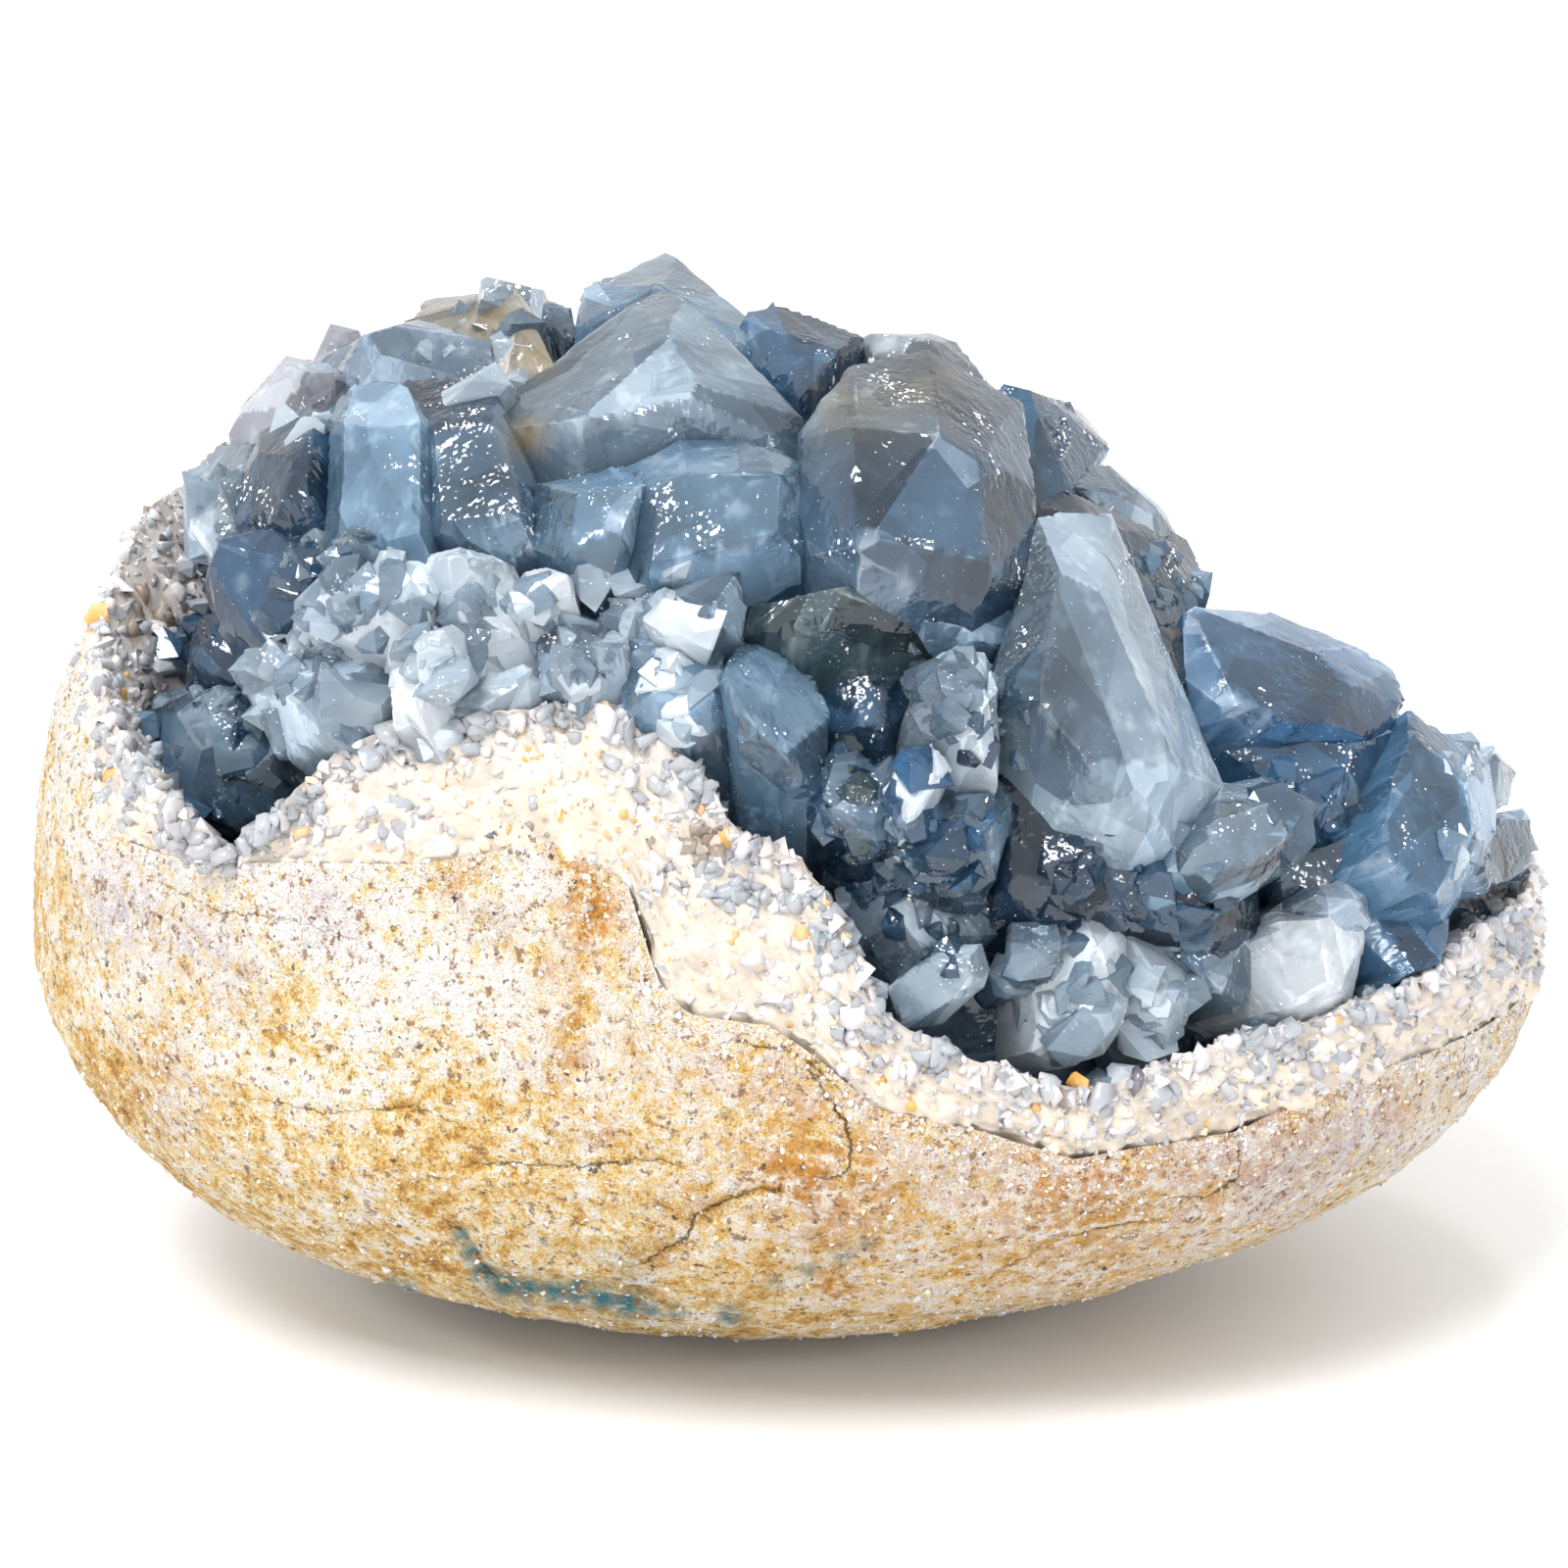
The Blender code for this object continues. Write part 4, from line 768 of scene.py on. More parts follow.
def crystal_surface(middle, directions, distances, stretch, level, seed):
    """Points of the crystal from its middle, the triangles, and the points' faces and distances to the
    edge. The ball is stretched to the crystal's own proportions, and in each of its directions reach =
    the least of distance / cosine over the planes. Points closer to an edge or a corner than about half
    their spacing are moved onto it, and the planes are sunk by noise."""
    rays, triangles = ball(level)
    rays = rays @ stretch
    rays = rays / np.linalg.norm(rays, axis=1)[:, None]
    rows = np.arange(len(rays))
    cosine = np.maximum(rays @ directions.T, 1e-3)
    reach = distances / cosine
    face = reach.argmin(1)
    points = rays * reach[rows, face][:, None]
    sides = triangles[:, [0, 1, 1, 2, 2, 0]].reshape(-1, 2)
    lengths = np.linalg.norm(points[sides[:, 0]] - points[sides[:, 1]], axis=1)
    spacing = np.bincount(sides[:, 0], lengths, len(rows)) / np.bincount(sides[:, 0], minlength=len(rows))
    snap = SNAP_SHARE * spacing

    own = directions[face]
    across = np.clip(own @ directions.T, -1, 0.9999)
    gap = distances - points @ directions.T
    run = gap / np.sqrt(1 - across**2)
    run[rows, face] = np.inf
    other = run.argmin(1)
    edge_run = run[rows, other]
    lean = across[rows, other][:, None]
    step = (directions[other] - lean * own) / np.sqrt(1 - lean**2)
    on_edge = edge_run < snap
    points = points + np.where(on_edge, edge_run, 0)[:, None] * step

    edge = np.cross(own, directions[other])
    edge /= np.linalg.norm(edge, axis=1)[:, None] + 1e-12
    slope = edge @ directions.T
    slide = (distances - points @ directions.T) / np.where(np.abs(slope) < 1e-3, 1e-9, slope)
    slide[rows, face] = np.inf
    slide[rows, other] = np.inf
    third = np.abs(slide).argmin(1)
    move = slide[rows, third]
    points += np.where(on_edge & (np.abs(move) < snap), move, 0)[:, None] * edge

    length = np.linalg.norm(points, axis=1)
    rays = points / length[:, None]
    gap_left = np.where(on_edge, 0, edge_run)
    own_sunk = distances[face] - sink(points + middle, own, gap_left, seed)
    other_sunk = distances[other] - sink(points + middle, directions[other], gap_left, seed)
    own_reach = own_sunk / np.maximum((rays * own).sum(1), 1e-3)
    other_cosine = (rays * directions[other]).sum(1)
    other_reach = np.where(other_cosine > 1e-3, other_sunk / np.maximum(other_cosine, 1e-3), np.inf)
    return rays * np.minimum(own_reach, other_reach)[:, None], triangles, face, gap_left


# %% [markdown]
# ### The near side's crystals
#
# The near side's crystals are laid on the mound by their outlines. Their tones run from clear and dark,
# where one looks deep into them, to milky white. The black tone is painted shade, on the crystals
# and heaps that lie in gaps and recesses. Each tone is a colour and a milkiness.

# %% Lay the near side's crystals
TONES = {
    "grey": ("#98afc0", 0.24),
    "pale": ("#b7cad9", 0.44),
    "light": ("#a6bed1", 0.34),
    "mid": ("#84a9c6", 0.26),
    "steel": ("#6f8ea8", 0.18),
    "slate": ("#5f7c95", 0.16),
    "saturated": ("#6c9fc8", 0.30),
    "deep": ("#5789b4", 0.22),
    "teal": ("#3c7499", 0.18),
    "olive": ("#4d636b", 0.14),
    "dark": ("#4a6f91", 0.14),
    # Painted shade: the black tone darkens the crystals and heaps that lie in gaps and recesses.
    "black": ("#34506b", 0.08),
    "smoky": ("#ada390", 0.50),
    "pinkish": ("#a8aab5", 0.50),
    "milky": ("#c4d3e0", 0.66),
    "frosty": ("#c6cfd8", 0.72),
}
ON_OUTLINE = (
    "milky_shoulder", "left_lobe", "smoky_shoulder", "low_back_ridge", "dark_saddle", "back_peak", "pyramid",
    "blue_wedge", "far_ridge", "great_block", "teal_back", "pale_shard", "back_knob", "right_mass",
    "right_light", "right_milky", "right_tip", "pale_shoulder", "white_block", "blade", "notch_floor",
)


def overlap_of(name):
    """How much larger than drawn a crystal is, so that it grows into its neighbours. Those that stand
    on the mound's outline are made only a little larger."""
    return OUTER_OVERLAP if name in ON_OUTLINE else INNER_OVERLAP


def near_crystals():
    """(name, tone, corners) of the crystals drawn in the view."""
    rng = np.random.default_rng(SEED)
    made = []
    for name, (tone, behind, tops, outline) in FACED.items():
        tops = np.array(tops)
        face = seen_on(tops[:, :2], True, (behind - tops[:, 2]) * MM)
        made.append((name, tone, with_root(seen_on(outline, True, behind * MM), face, overlap_of(name))))
    for name, (tone, behind, rise, flat, lean, outline) in PLAIN.items():
        ring = seen_on(outline, True, behind * MM)
        face = drawn_face(ring, -FORWARD, RIGHT, UP, rise * MM, flat, lean, overlap_of(name), rng)
        made.append((name, tone, with_root(ring, face, overlap_of(name))))
    return made


near = near_crystals()
print(len(near), "near crystals")

# %% [markdown]
# ### The far side's crystals
#
# The far side isn't seen in the photograph, so crystals of the same kinds are spread over it by the
# golden angle, which never lines them up, and varied with a fixed seed: the number and turn of their
# corners, their width in mm, proportion, lean, rise in mm, and how wide the face is. One that would
# stand out over the near side is lowered. All of them are kept off the stone's wall.

# %% Spread the far side's crystals
FAR_TONES = ("mid", "light", "deep", "grey", "saturated", "mid", "dark", "light", "milky", "mid")
FAR_COUNT = 76
FAR_SHARE = 0.895
FAR_FRONT = 0.16
FAR_CORNERS = (5, 8)
FAR_TURN = 0.3
FAR_WIDTH = (7, 10)
FAR_PROPORTION = (0.7, 1.3)
FAR_LEAN = (-0.7, 0.7)
FAR_RISE = (2, 4)
FAR_FLAT = (0.3, 0.7)
FAR_LOWERED = {29: 0.2}
WALL_SHARE = 0.88
WALL_FADE = 4 * MM


def behind_wall(corners):
    """The corners, drawn towards the nodule's middle where the stone hides them: below the crust's top
    their distance from the middle is at most WALL_SHARE of the stone's. This fades out above it."""
    x, y, z = corners.T
    reach = np.sqrt(inside_measure(x, y, z))
    hidden = np.clip(1 - (z - height_round(CRUST, angle_round(x, y))) / WALL_FADE, 0, 1)
    share = 1 + hidden * (np.minimum(WALL_SHARE / reach, 1) - 1)
    middle = np.stack([np.full_like(x, MIDDLE_X), np.zeros_like(x), waist_at(x)], -1)
    return middle + (corners - middle) * share[:, None]


def far_crystals():
    """(name, tone, corners) of the far side's crystals, each a ring of five to seven corners."""
    rng = np.random.default_rng(SEED)
    made = []
    for i in range(FAR_COUNT):
        level = 1 - (i + 0.5) / FAR_COUNT
        angle = i * math.pi * (3 - math.sqrt(5))
        spread = math.sqrt(1 - level**2)
        if math.sin(angle) * spread < FAR_FRONT:
            continue
        x = MIDDLE_X + HALF_LENGTH * spread * math.cos(angle)
        y = HALF_DEPTH * spread * math.sin(angle)
        z = WAIST_HEIGHT + crown_height(x, True) * level
        middle = np.array([x, y, z]) * FAR_SHARE
        outward = np.array([x / HALF_LENGTH**2, y / HALF_DEPTH**2, level / crown_height(x, True)])
        outward /= np.linalg.norm(outward)
        across = np.cross([0, 0, 1.0], outward)
        across /= np.linalg.norm(across)
        up = np.cross(outward, across)
        count = rng.integers(*FAR_CORNERS)
        turns = (np.arange(count) + rng.uniform(-FAR_TURN, FAR_TURN, count)) * 2 * math.pi / count
        width = rng.uniform(*FAR_WIDTH) * MM
        height = width * rng.uniform(*FAR_PROPORTION)
        ring = middle + np.outer(width * np.cos(turns), across) + np.outer(height * np.sin(turns), up)
        lean = rng.uniform(*FAR_LEAN, 2)
        rise = rng.uniform(*FAR_RISE) * MM * FAR_LOWERED.get(i, 1)
        flat = rng.uniform(*FAR_FLAT)
        face = drawn_face(ring, outward, across, up, rise, flat, lean, OUTER_OVERLAP, rng)
        corners = behind_wall(with_root(ring, face, OUTER_OVERLAP))
        made.append((f"far_{i:02d}", FAR_TONES[i % len(FAR_TONES)], corners))
    return made


far = far_crystals()
print(len(far), "far crystals")

# %% [markdown]
# ### Pieces from many crystals
#
# Each crystal stays a closed surface that dips into its neighbours. To cut them into one surface would
# be slow, and would show no difference. They are gathered in four pieces, so that none gets too large.

# %% Build the crystals in four pieces


def join(parts):
    """One array of points and one of triangles from several, with the triangles' numbers shifted."""
    starts = np.cumsum([0] + [len(points) for points, _ in parts[:-1]])
    return (
        np.concatenate([points for points, _ in parts]),
        np.concatenate([triangles + start for (_, triangles), start in zip(parts, starts, strict=True)]),
    )


FINEST = ("great_block", "blade", "pyramid")
FINEST_LEVEL, FINE_LEVEL, PLAIN_LEVEL = 6, 5, 4
LEAST_FINE = 9 * MM
FAR_LEAST_FINE = 25.5 * MM
FIRST_SEED = 100
SEEDS_EACH = 7
FACE_SEED = 5
OWN_SHIFT = 1.0
PAINTED_FACE_SHADE = 0.62
FACE_MILK = 0.26
SHARP_ANGLE = 13


def crystal_group(name, members, least_fine):
    """One piece from several crystals, each with its tone on its points. Larger crystals get a ball
    of more triangles, so that the points lie half a millimetre to a millimetre apart on all of them.
    Each crystal's own place is shifted at random, so that no two show the same pattern, and each of
    its faces is a little clearer or milkier, and a little lighter or darker at random, which paints
    light and shade between the faces."""
    parts = []
    tones = []
    own_places = []
    edges = []
    for i, (label, tone, corners) in enumerate(members):
        rng = np.random.default_rng([SEED, i])
        middle, directions, distances = flat_faces(corners)
        directions, distances = with_cuts(corners, middle, directions, distances, rng)
        axes, stretch = own_axes(corners - middle)
        size = np.ptp(corners, axis=0).max()
        level = FINEST_LEVEL if label in FINEST else FINE_LEVEL if size > least_fine else PLAIN_LEVEL
        seed = FIRST_SEED + SEEDS_EACH * i
        points, triangles, face, edge = crystal_surface(
            middle, directions, distances, stretch, level, seed
        )
        parts.append((middle + points, triangles))
        own_places.append(points @ axes.T + rng.uniform(0, OWN_SHIFT, 3))
        edges.append(edge / MM)
        colour, milk = TONES[tone]
        # Each face's colour is made lighter or darker at random: painted light and shade between the faces.
        number = scrambled(np.stack([face, face, face + i], -1), FACE_SEED) - 0.5
        colours = np.outer(1 + PAINTED_FACE_SHADE * number, linear(colour)[:3])
        tones.append(np.column_stack([colours, np.clip(milk + FACE_MILK * number, 0, 1)]))
    points, triangles = join(parts)
    tones = np.concatenate(tones)
    seen = in_view(points)
    for tint, spots in TINTS:
        share = np.clip(spot_sum(spots, seen), 0, 1)[:, None]
        tones[:, :3] += share * (np.array(linear(tint)[:3]) - tones[:, :3])
    attributes = {
        "tone": tones,
        "own_place": np.concatenate(own_places),
        "edge_gap": np.concatenate(edges),
        "painted_glint": np.clip(spot_sum(PAINTED_GLINTS, seen), 0, 1),
    }
    return mesh_object(name, points, triangles, attributes, SHARP_ANGLE)


LEFT_END = -12 * MM
RIGHT_START = 16 * MM
middle_of = {label: corners.mean(0)[0] for label, _, corners in near}
groups = {
    "celestite_left": [one for one in near if middle_of[one[0]] < LEFT_END],
    "celestite_middle": [one for one in near if LEFT_END <= middle_of[one[0]] < RIGHT_START],
    "celestite_right": [one for one in near if RIGHT_START <= middle_of[one[0]]],
    "celestite_far": far,
}
crystal_pieces = [
    crystal_group(name, members, FAR_LEAST_FINE if members is far else LEAST_FINE)
    for name, members in groups.items()
]

# %% [markdown]
# ## The limestone
#
# The nodule's outside is a sandy limestone, worn rough, with hollows, low ledges and hairline cracks.
# Its surface is one grid: rows run from the resting spot up the outside to the rim and down into the
# hollow, and columns run round. Every row closes on itself, and a single point closes each end.
# The unevenness is added along the surface's own direction as a sum of noises.

# %% A closed grid round the nodule


def round_grid(rows, columns):
    """Triangles of a grid whose columns close on themselves, with one point more for each end."""
    index = np.arange(rows * columns).reshape(rows, columns)
    beside = np.roll(index, -1, axis=1)
    first = np.full(columns, rows * columns)
    parts = [
        (index[:-1], beside[:-1], beside[1:]),
        (index[:-1], beside[1:], index[1:]),
        (first, beside[0], index[0]),
        (first + 1, index[-1], beside[-1]),
    ]
    return np.concatenate([np.stack(part, -1).reshape(-1, 3) for part in parts])


def outward_of(grid):
    """Unit directions out of a closed grid of points: the cross product of the steps along its two
    sides, each taken between the neighbours before and after."""
    around = np.roll(grid, -1, axis=1) - np.roll(grid, 1, axis=1)
    along = np.gradient(grid, axis=0)
    out = np.cross(around, along)
    return out / (np.linalg.norm(out, axis=-1, keepdims=True) + 1e-12)


STONE_AROUND = 440
SPOT_ROWS = 6
OUTER_ROWS = 168
HOLLOW_ROWS = 20
STONE_SPREAD = 1.15
HOLLOW_SPREAD = 1.6

angles = np.linspace(0, 2 * math.pi, STONE_AROUND, endpoint=False)[None, :]
rim = height_round(RIM, angles)
spot_reach = reach_at(angles, 0 * rim)
shares = (np.arange(1, SPOT_ROWS + 1) / SPOT_ROWS)[:, None]
spot = plan_point(angles, shares * spot_reach, 0 * shares * rim)
climb = (np.arange(1, OUTER_ROWS + 1) / OUTER_ROWS)[:, None]
heights = rim * (1 - np.cos(math.pi / 2 * climb)) ** STONE_SPREAD
outside = plan_point(angles, reach_at(angles, heights), heights)
inwards = (1 - (np.arange(1, HOLLOW_ROWS) / HOLLOW_ROWS) ** HOLLOW_SPREAD)[:, None]
hollow_reach = reach_at(angles, rim) * inwards
hollow = plan_point(angles, hollow_reach, bed_height(angles, hollow_reach))
stone_grid = np.concatenate([spot, outside, hollow])
is_outside = np.zeros(len(stone_grid))
is_outside[SPOT_ROWS : SPOT_ROWS + OUTER_ROWS] = 1
below_rim = np.concatenate([rim - 0 * shares, rim - heights, 0 * inwards * rim])
print("stone grid", stone_grid.shape)

# %% [markdown]
# ### Cracks and stains
#
# The photograph shows a few cracks and stains that give this stone its character: a parting under the
# crust at the right, a forked crack at the middle, two short ledges, rust spots, and a thin band of
# blue-green near the bottom. Each is a line or a spot in the view. A point of the grid keeps its
# distance to the nearest crack, with a sign for the side, so the finish can draw a thin line between
# points half a millimetre apart.

# %% Draw the cracks and stains on the stone
CRACKS = [
    (0.10, [(833, 1197), (846, 1202), (864, 1191), (869, 1168), (862, 1145), (838, 1112), (820, 1085)]),
    (0.11, [(640, 1290), (665, 1283), (695, 1267), (714, 1241), (749, 1220), (776, 1212), (800, 1216)]),
    (0.06, [(470, 1192), (500, 1189), (577, 1193), (653, 1183), (700, 1186)]),
    (0.09, [(452, 1246), (465, 1252), (482, 1272), (494, 1298), (520, 1316)]),
    (0.09, [(890, 1131), (921, 1120), (951, 1134), (990, 1156)]),
    (0.07, [(745, 1060), (802, 1072), (837, 1090), (862, 1120)]),
    (0.06, [(1180, 1215), (1230, 1222), (1262, 1196), (1262, 1160)]),
    (0.05, [(160, 900), (220, 930), (300, 940), (360, 960)]),
    (0.05, [(250, 1120), (330, 1136), (420, 1130), (470, 1150)]),
    (0.05, [(1010, 1300), (1080, 1262), (1150, 1244), (1210, 1240)]),
]
STAINS = {
    "rust": [
        (802, 1202, 22, 1.0), (852, 1310, 14, 0.9), (615, 1156, 12, 0.9), (590, 862, 34, 0.8),
        (600, 935, 26, 0.7), (1420, 1122, 26, 0.6), (670, 1275, 20, 0.7), (1330, 1105, 20, 0.5),
        (599, 900, 9, 0.9), (601, 925, 11, 1.0), (597, 952, 8, 0.8), (598, 985, 8, 0.9),
        (592, 1012, 8, 0.8), (590, 1040, 8, 0.8), (560, 990, 14, 0.5), (584, 1075, 16, 0.5),
        (700, 1230, 24, 0.5), (160, 1070, 40, 0.4), (470, 905, 30, 0.5), (860, 1200, 50, 0.4),
        (790, 1120, 90, 0.45), (1100, 1215, 120, 0.75), (870, 1250, 110, 0.35),
        (1320, 1108, 40, 0.6), (1270, 1170, 80, 0.3), (610, 940, 46, 0.4), (590, 1080, 90, 0.25),
    ],
    "teal": [
        (470, 1262, 9, 0.8), (480, 1280, 9, 0.9), (492, 1300, 11, 1.0), (515, 1312, 13, 1.0),
        (540, 1316, 12, 0.9), (565, 1318, 12, 0.9), (590, 1320, 12, 0.9), (615, 1325, 12, 0.9),
        (640, 1330, 12, 0.9), (665, 1334, 10, 0.8), (690, 1336, 9, 0.7), (745, 1339, 12, 0.9),
        (417, 1315, 10, 0.9), (400, 1306, 8, 0.6),
        (791, 1304, 9, 0.5), (825, 1292, 9, 0.6), (860, 1277, 10, 0.6), (884, 1262, 8, 0.5),
        (640, 1300, 30, 0.25),
    ],
    "white": [
        (400, 960, 90, 0.7), (250, 850, 80, 0.6), (520, 1000, 70, 0.5), (700, 960, 60, 0.6),
        (1250, 1180, 90, 0.3), (90, 700, 50, 0.6),
        (330, 1120, 60, 0.3), (950, 1090, 60, 0.4), (1450, 1130, 60, 0.4), (600, 1240, 40, 0.3),
    ],
    "lilac": [
        (120, 930, 46, 0.8), (210, 960, 40, 0.7), (330, 930, 34, 0.6), (250, 1010, 30, 0.5),
        (1300, 1190, 60, 0.8), (1390, 1150, 46, 0.7), (510, 940, 26, 0.5),
        (850, 1235, 30, 0.4), (1480, 1100, 30, 0.5), (180, 1130, 40, 0.4),
    ],
}
# On the far side, stains stand where a noise rises above these heights.
FAR_STAINS = {"rust": 0.55, "teal": 0.9, "white": 0.2, "lilac": 0.35}
FAR_STAIN_GAIN = 1.6
# A distance in mm that stands for no crack near, or no edge near.
FAR_FROM_CRACK = 9.0
FAR_FROM_EDGE = 9.0


def crack_distance(seen):
    """Signed distance in mm to the nearest crack, and half that crack's width, which tapers to its
    ends as the square root of 4 * s * (1 - s). The sign is that of the cross product with the crack's
    direction."""
    best = np.full(len(seen), FAR_FROM_CRACK)
    half = np.zeros(len(seen))
    for width, line in CRACKS:
        line = np.array(line, float)
        start, step = line[:-1], np.diff(line, axis=0)
        length = np.linalg.norm(step, axis=1)
        away = seen[:, None] - start
        share = np.clip((away * step).sum(-1) / length**2, 0, 1)
        gap = away - share[..., None] * step
        far = np.linalg.norm(gap, axis=-1)
        piece = far.argmin(1)
        rows = np.arange(len(seen))
        side = np.sign(step[piece, 0] * away[rows, piece, 1] - step[piece, 1] * away[rows, piece, 0])
        run = (np.cumsum(length) - length)[piece] + share[rows, piece] * length[piece]
        part = run / length.sum()
        signed = side * far[rows, piece] * VIEW_STEP / MM
        closer = np.abs(signed) < np.abs(best)
        best = np.where(closer, signed, best)
        half = np.where(closer, width * np.sqrt(4 * part * (1 - part)), half)
    return best, half


flat_grid = stone_grid.reshape(-1, 3)
seen = in_view(flat_grid)
is_near = (flat_grid[:, 1] < 0) & (np.repeat(is_outside, STONE_AROUND) > 0)
crack_side, crack_half = crack_distance(seen)
crack_side = np.where(is_near, crack_side, FAR_FROM_CRACK)
crack_half = np.where(is_near, crack_half, 0.0)
stains = []
for seed, (kind, least) in enumerate(FAR_STAINS.items()):
    on_far = np.clip(smooth_noise(flat_grid, 11 * MM, 40 + seed) - least, 0, 1) * FAR_STAIN_GAIN
    stains.append(np.where(is_near, np.clip(spot_sum(STAINS[kind], seen), 0, 1), on_far))
print("points on cracks:", int((np.abs(crack_side) < 0.3).sum()))

# %% [markdown]
# ### The stone's relief
#
# Worn limestone is uneven at every size: it swells, has low ledges along its layers, and is pitted and
# grainy. Each of these is a noise of its own width, and their sum moves the grid in and out. It fades
# at the rim and at the foot, where the stone meets the crust and the table.

# %% Raise and sink the stone's surface
# Heights are in mm. The swell and the roughness are sums of noises: height, width and seed.
SWELL = [(0.40, 17 * MM, 1), (0.26, 7 * MM, 2)]
ROUGHNESS = [(0.20, 2.6 * MM, 4), (0.10, 1.2 * MM, 5)]
LEDGE_HEIGHT = 0.16
GRAIN_HEIGHT = 0.24
PIT_DEPTH = 0.55
CRACK_DEPTH = 0.45
RIM_FADE = 1.5 * MM
FOOT_FADE = 2 * MM


def summed_noise(points, parts):
    """The sum of height * smooth noise over the parts."""
    return sum(height * smooth_noise(points, width, seed) for height, width, seed in parts)


outward = outward_of(stone_grid)
swell = summed_noise(stone_grid, SWELL)
ledges = LEDGE_HEIGHT * smooth_noise(stone_grid * np.array([1, 1, 5.0]), 12 * MM, 3)
rough = summed_noise(stone_grid, ROUGHNESS)
near_seed, _, grain_number = cell_noise(stone_grid, 1.3 * MM, 6)
bumps = GRAIN_HEIGHT * (0.55 - near_seed) * grain_number
pit_seed, _, _ = cell_noise(stone_grid, 2.4 * MM, 11)
pit_area = np.clip(3 * (smooth_noise(stone_grid, 6 * MM, 12) - 0.15), 0, 1)
pits = -PIT_DEPTH * pit_area * np.clip(1 - 2.2 * pit_seed, 0, 1)
cut = -CRACK_DEPTH * np.clip(crack_half / 0.14, 0, 1.2) * np.exp(-((crack_side / 0.35) ** 2))
relief = swell + ledges + rough + bumps + pits + cut.reshape(rough.shape)
edge_fade = np.clip(below_rim / RIM_FADE, 0.25, 1)
fade = is_outside[:, None] * edge_fade + 0.5 * (1 - is_outside[:, None])
fade *= np.clip(stone_grid[..., 2] / FOOT_FADE, 0, 1)
stone_points = stone_grid + outward * (relief * fade * MM)[..., None]
stone_points[..., 2] = np.maximum(stone_points[..., 2], 0)
ends = np.array([[0, 0, 0], [MIDDLE_X, 0, HOLLOW_FLOOR]])
pad = [(0, 2)]
stone = mesh_object(
    "limestone_rind_rough",
    np.concatenate([stone_points.reshape(-1, 3), ends]),
    round_grid(*stone_grid.shape[:2]),
    {
        "crack_side": np.pad(crack_side, pad, constant_values=FAR_FROM_CRACK),
        "crack_half": np.pad(crack_half, pad),
        "hollow_depth": np.pad(np.clip(-(relief - swell).ravel(), 0, 1), pad),
        "below_rim": np.pad(below_rim.ravel() / MM, pad),
        "stains": np.pad(np.stack(stains, -1), [(0, 2), (0, 0)]),
    },
    60,
)

# %% [markdown]
# ## The crust of small crystals
#
# Druse is a sugary crust of crystals half a millimetre to two millimetres across. Its ground is a
# closed band that follows the crust's upper side, its outer wall and the stone's bed. The band is
# raised in cells, each with a flat top and steep sides, so that it looks like grains grown side by
# side. Its wall runs down over the stone's rim, except at the middle of the near side, where a dark
# parting runs between them.

# %% The band under the grains
CRUST_AROUND = 640
TOP_ROWS = 54
WALL_ROWS = 32
UNDER_ROWS = 6
CRUST_INSET = 0.03
GAP = 0.3 * MM
WALL_INSET = 0.008
OVERHANG = 0.006
OVERHANG_DROP = 1.3 * MM
PARTED_FROM = (-0.26, -0.18)
PARTED_TO = (0.58, 0.66)
OVERGROWN_TO = (0.97, 1.00)
# The band's relief: height in mm, width and seed of its swell and of its two sizes of cells.
BAND_SWELL = (0.55, 5 * MM, 21)
BAND_CELLS = [(0.55, 2.1 * MM, 22), (0.30, 1.0 * MM, 23)]

angles = np.linspace(0, 2 * math.pi, CRUST_AROUND, endpoint=False)[None, :]
rim = height_round(RIM, angles)
top = height_round(CRUST, angles)
top_reach = reach_at(angles, top)
shares = np.linspace(0, 1, TOP_ROWS)[:, None]
reach = top_reach * (1 - CRUST_INSET) * (CRUST_INNER + (1 - CRUST_INNER) * shares)
upper = plan_point(angles, reach, crust_height(angles, reach))
shares = (np.arange(1, WALL_ROWS + 1) / WALL_ROWS)[:, None]
along = np.cos(angles)
overgrown = np.interp(along, [*PARTED_FROM, *PARTED_TO], [1, 0, 0, 1])
overgrown = np.where(np.sin(angles) < 0, overgrown, 1) * np.interp(along, OVERGROWN_TO, [1, 0])
heights = top + (rim + 0.3 * GAP - overgrown * OVERHANG_DROP - top) * shares
set_out = overgrown * OVERHANG * (1 - 2 * shares**4) - (1 - overgrown) * WALL_INSET
wall = plan_point(angles, reach_at(angles, heights) * (1 + set_out), heights)
shares = (np.arange(1, UNDER_ROWS) / UNDER_ROWS)[:, None]
rim_reach = reach_at(angles, rim) * (1 - CRUST_INSET)
under_reach = rim_reach + (top_reach * CRUST_INNER - rim_reach) * shares
under = plan_point(angles, under_reach, bed_height(angles, under_reach) + 0.5 * GAP)
band = np.concatenate([upper, wall, under])
band_out = -outward_of(np.concatenate([band[-1:], band, band[:1]]))[1:-1]
lumpy = summed_noise(band, [BAND_SWELL])
for height, size, seed in BAND_CELLS:
    nearest, second, number = cell_noise(band, size, seed)
    lumpy += height * (0.4 + number) * (np.clip(2.2 * (second - nearest), 0, 1) - 0.5)
lumpy[TOP_ROWS + WALL_ROWS :] = 0
band = band + band_out * (lumpy * MM)[..., None]
index = np.arange(band[..., 0].size).reshape(band.shape[:2])
beside = np.roll(index, -1, axis=1)
above = np.roll(index, -1, axis=0)
corner = np.roll(beside, -1, axis=0)
quads = np.stack([index, above, corner, beside], -1).reshape(-1, 4)
print("crust band", band.shape)

# %% [markdown]
# ### Grains of many tones
#
# Most grains of the druse are white or clear, and lower down many are cream, with a few stained amber.
# Some places have a kind of their own: coarse and smoky at the left end, clear along the large
# crystals, fine and sugary on the hump. These are round spots in the view.

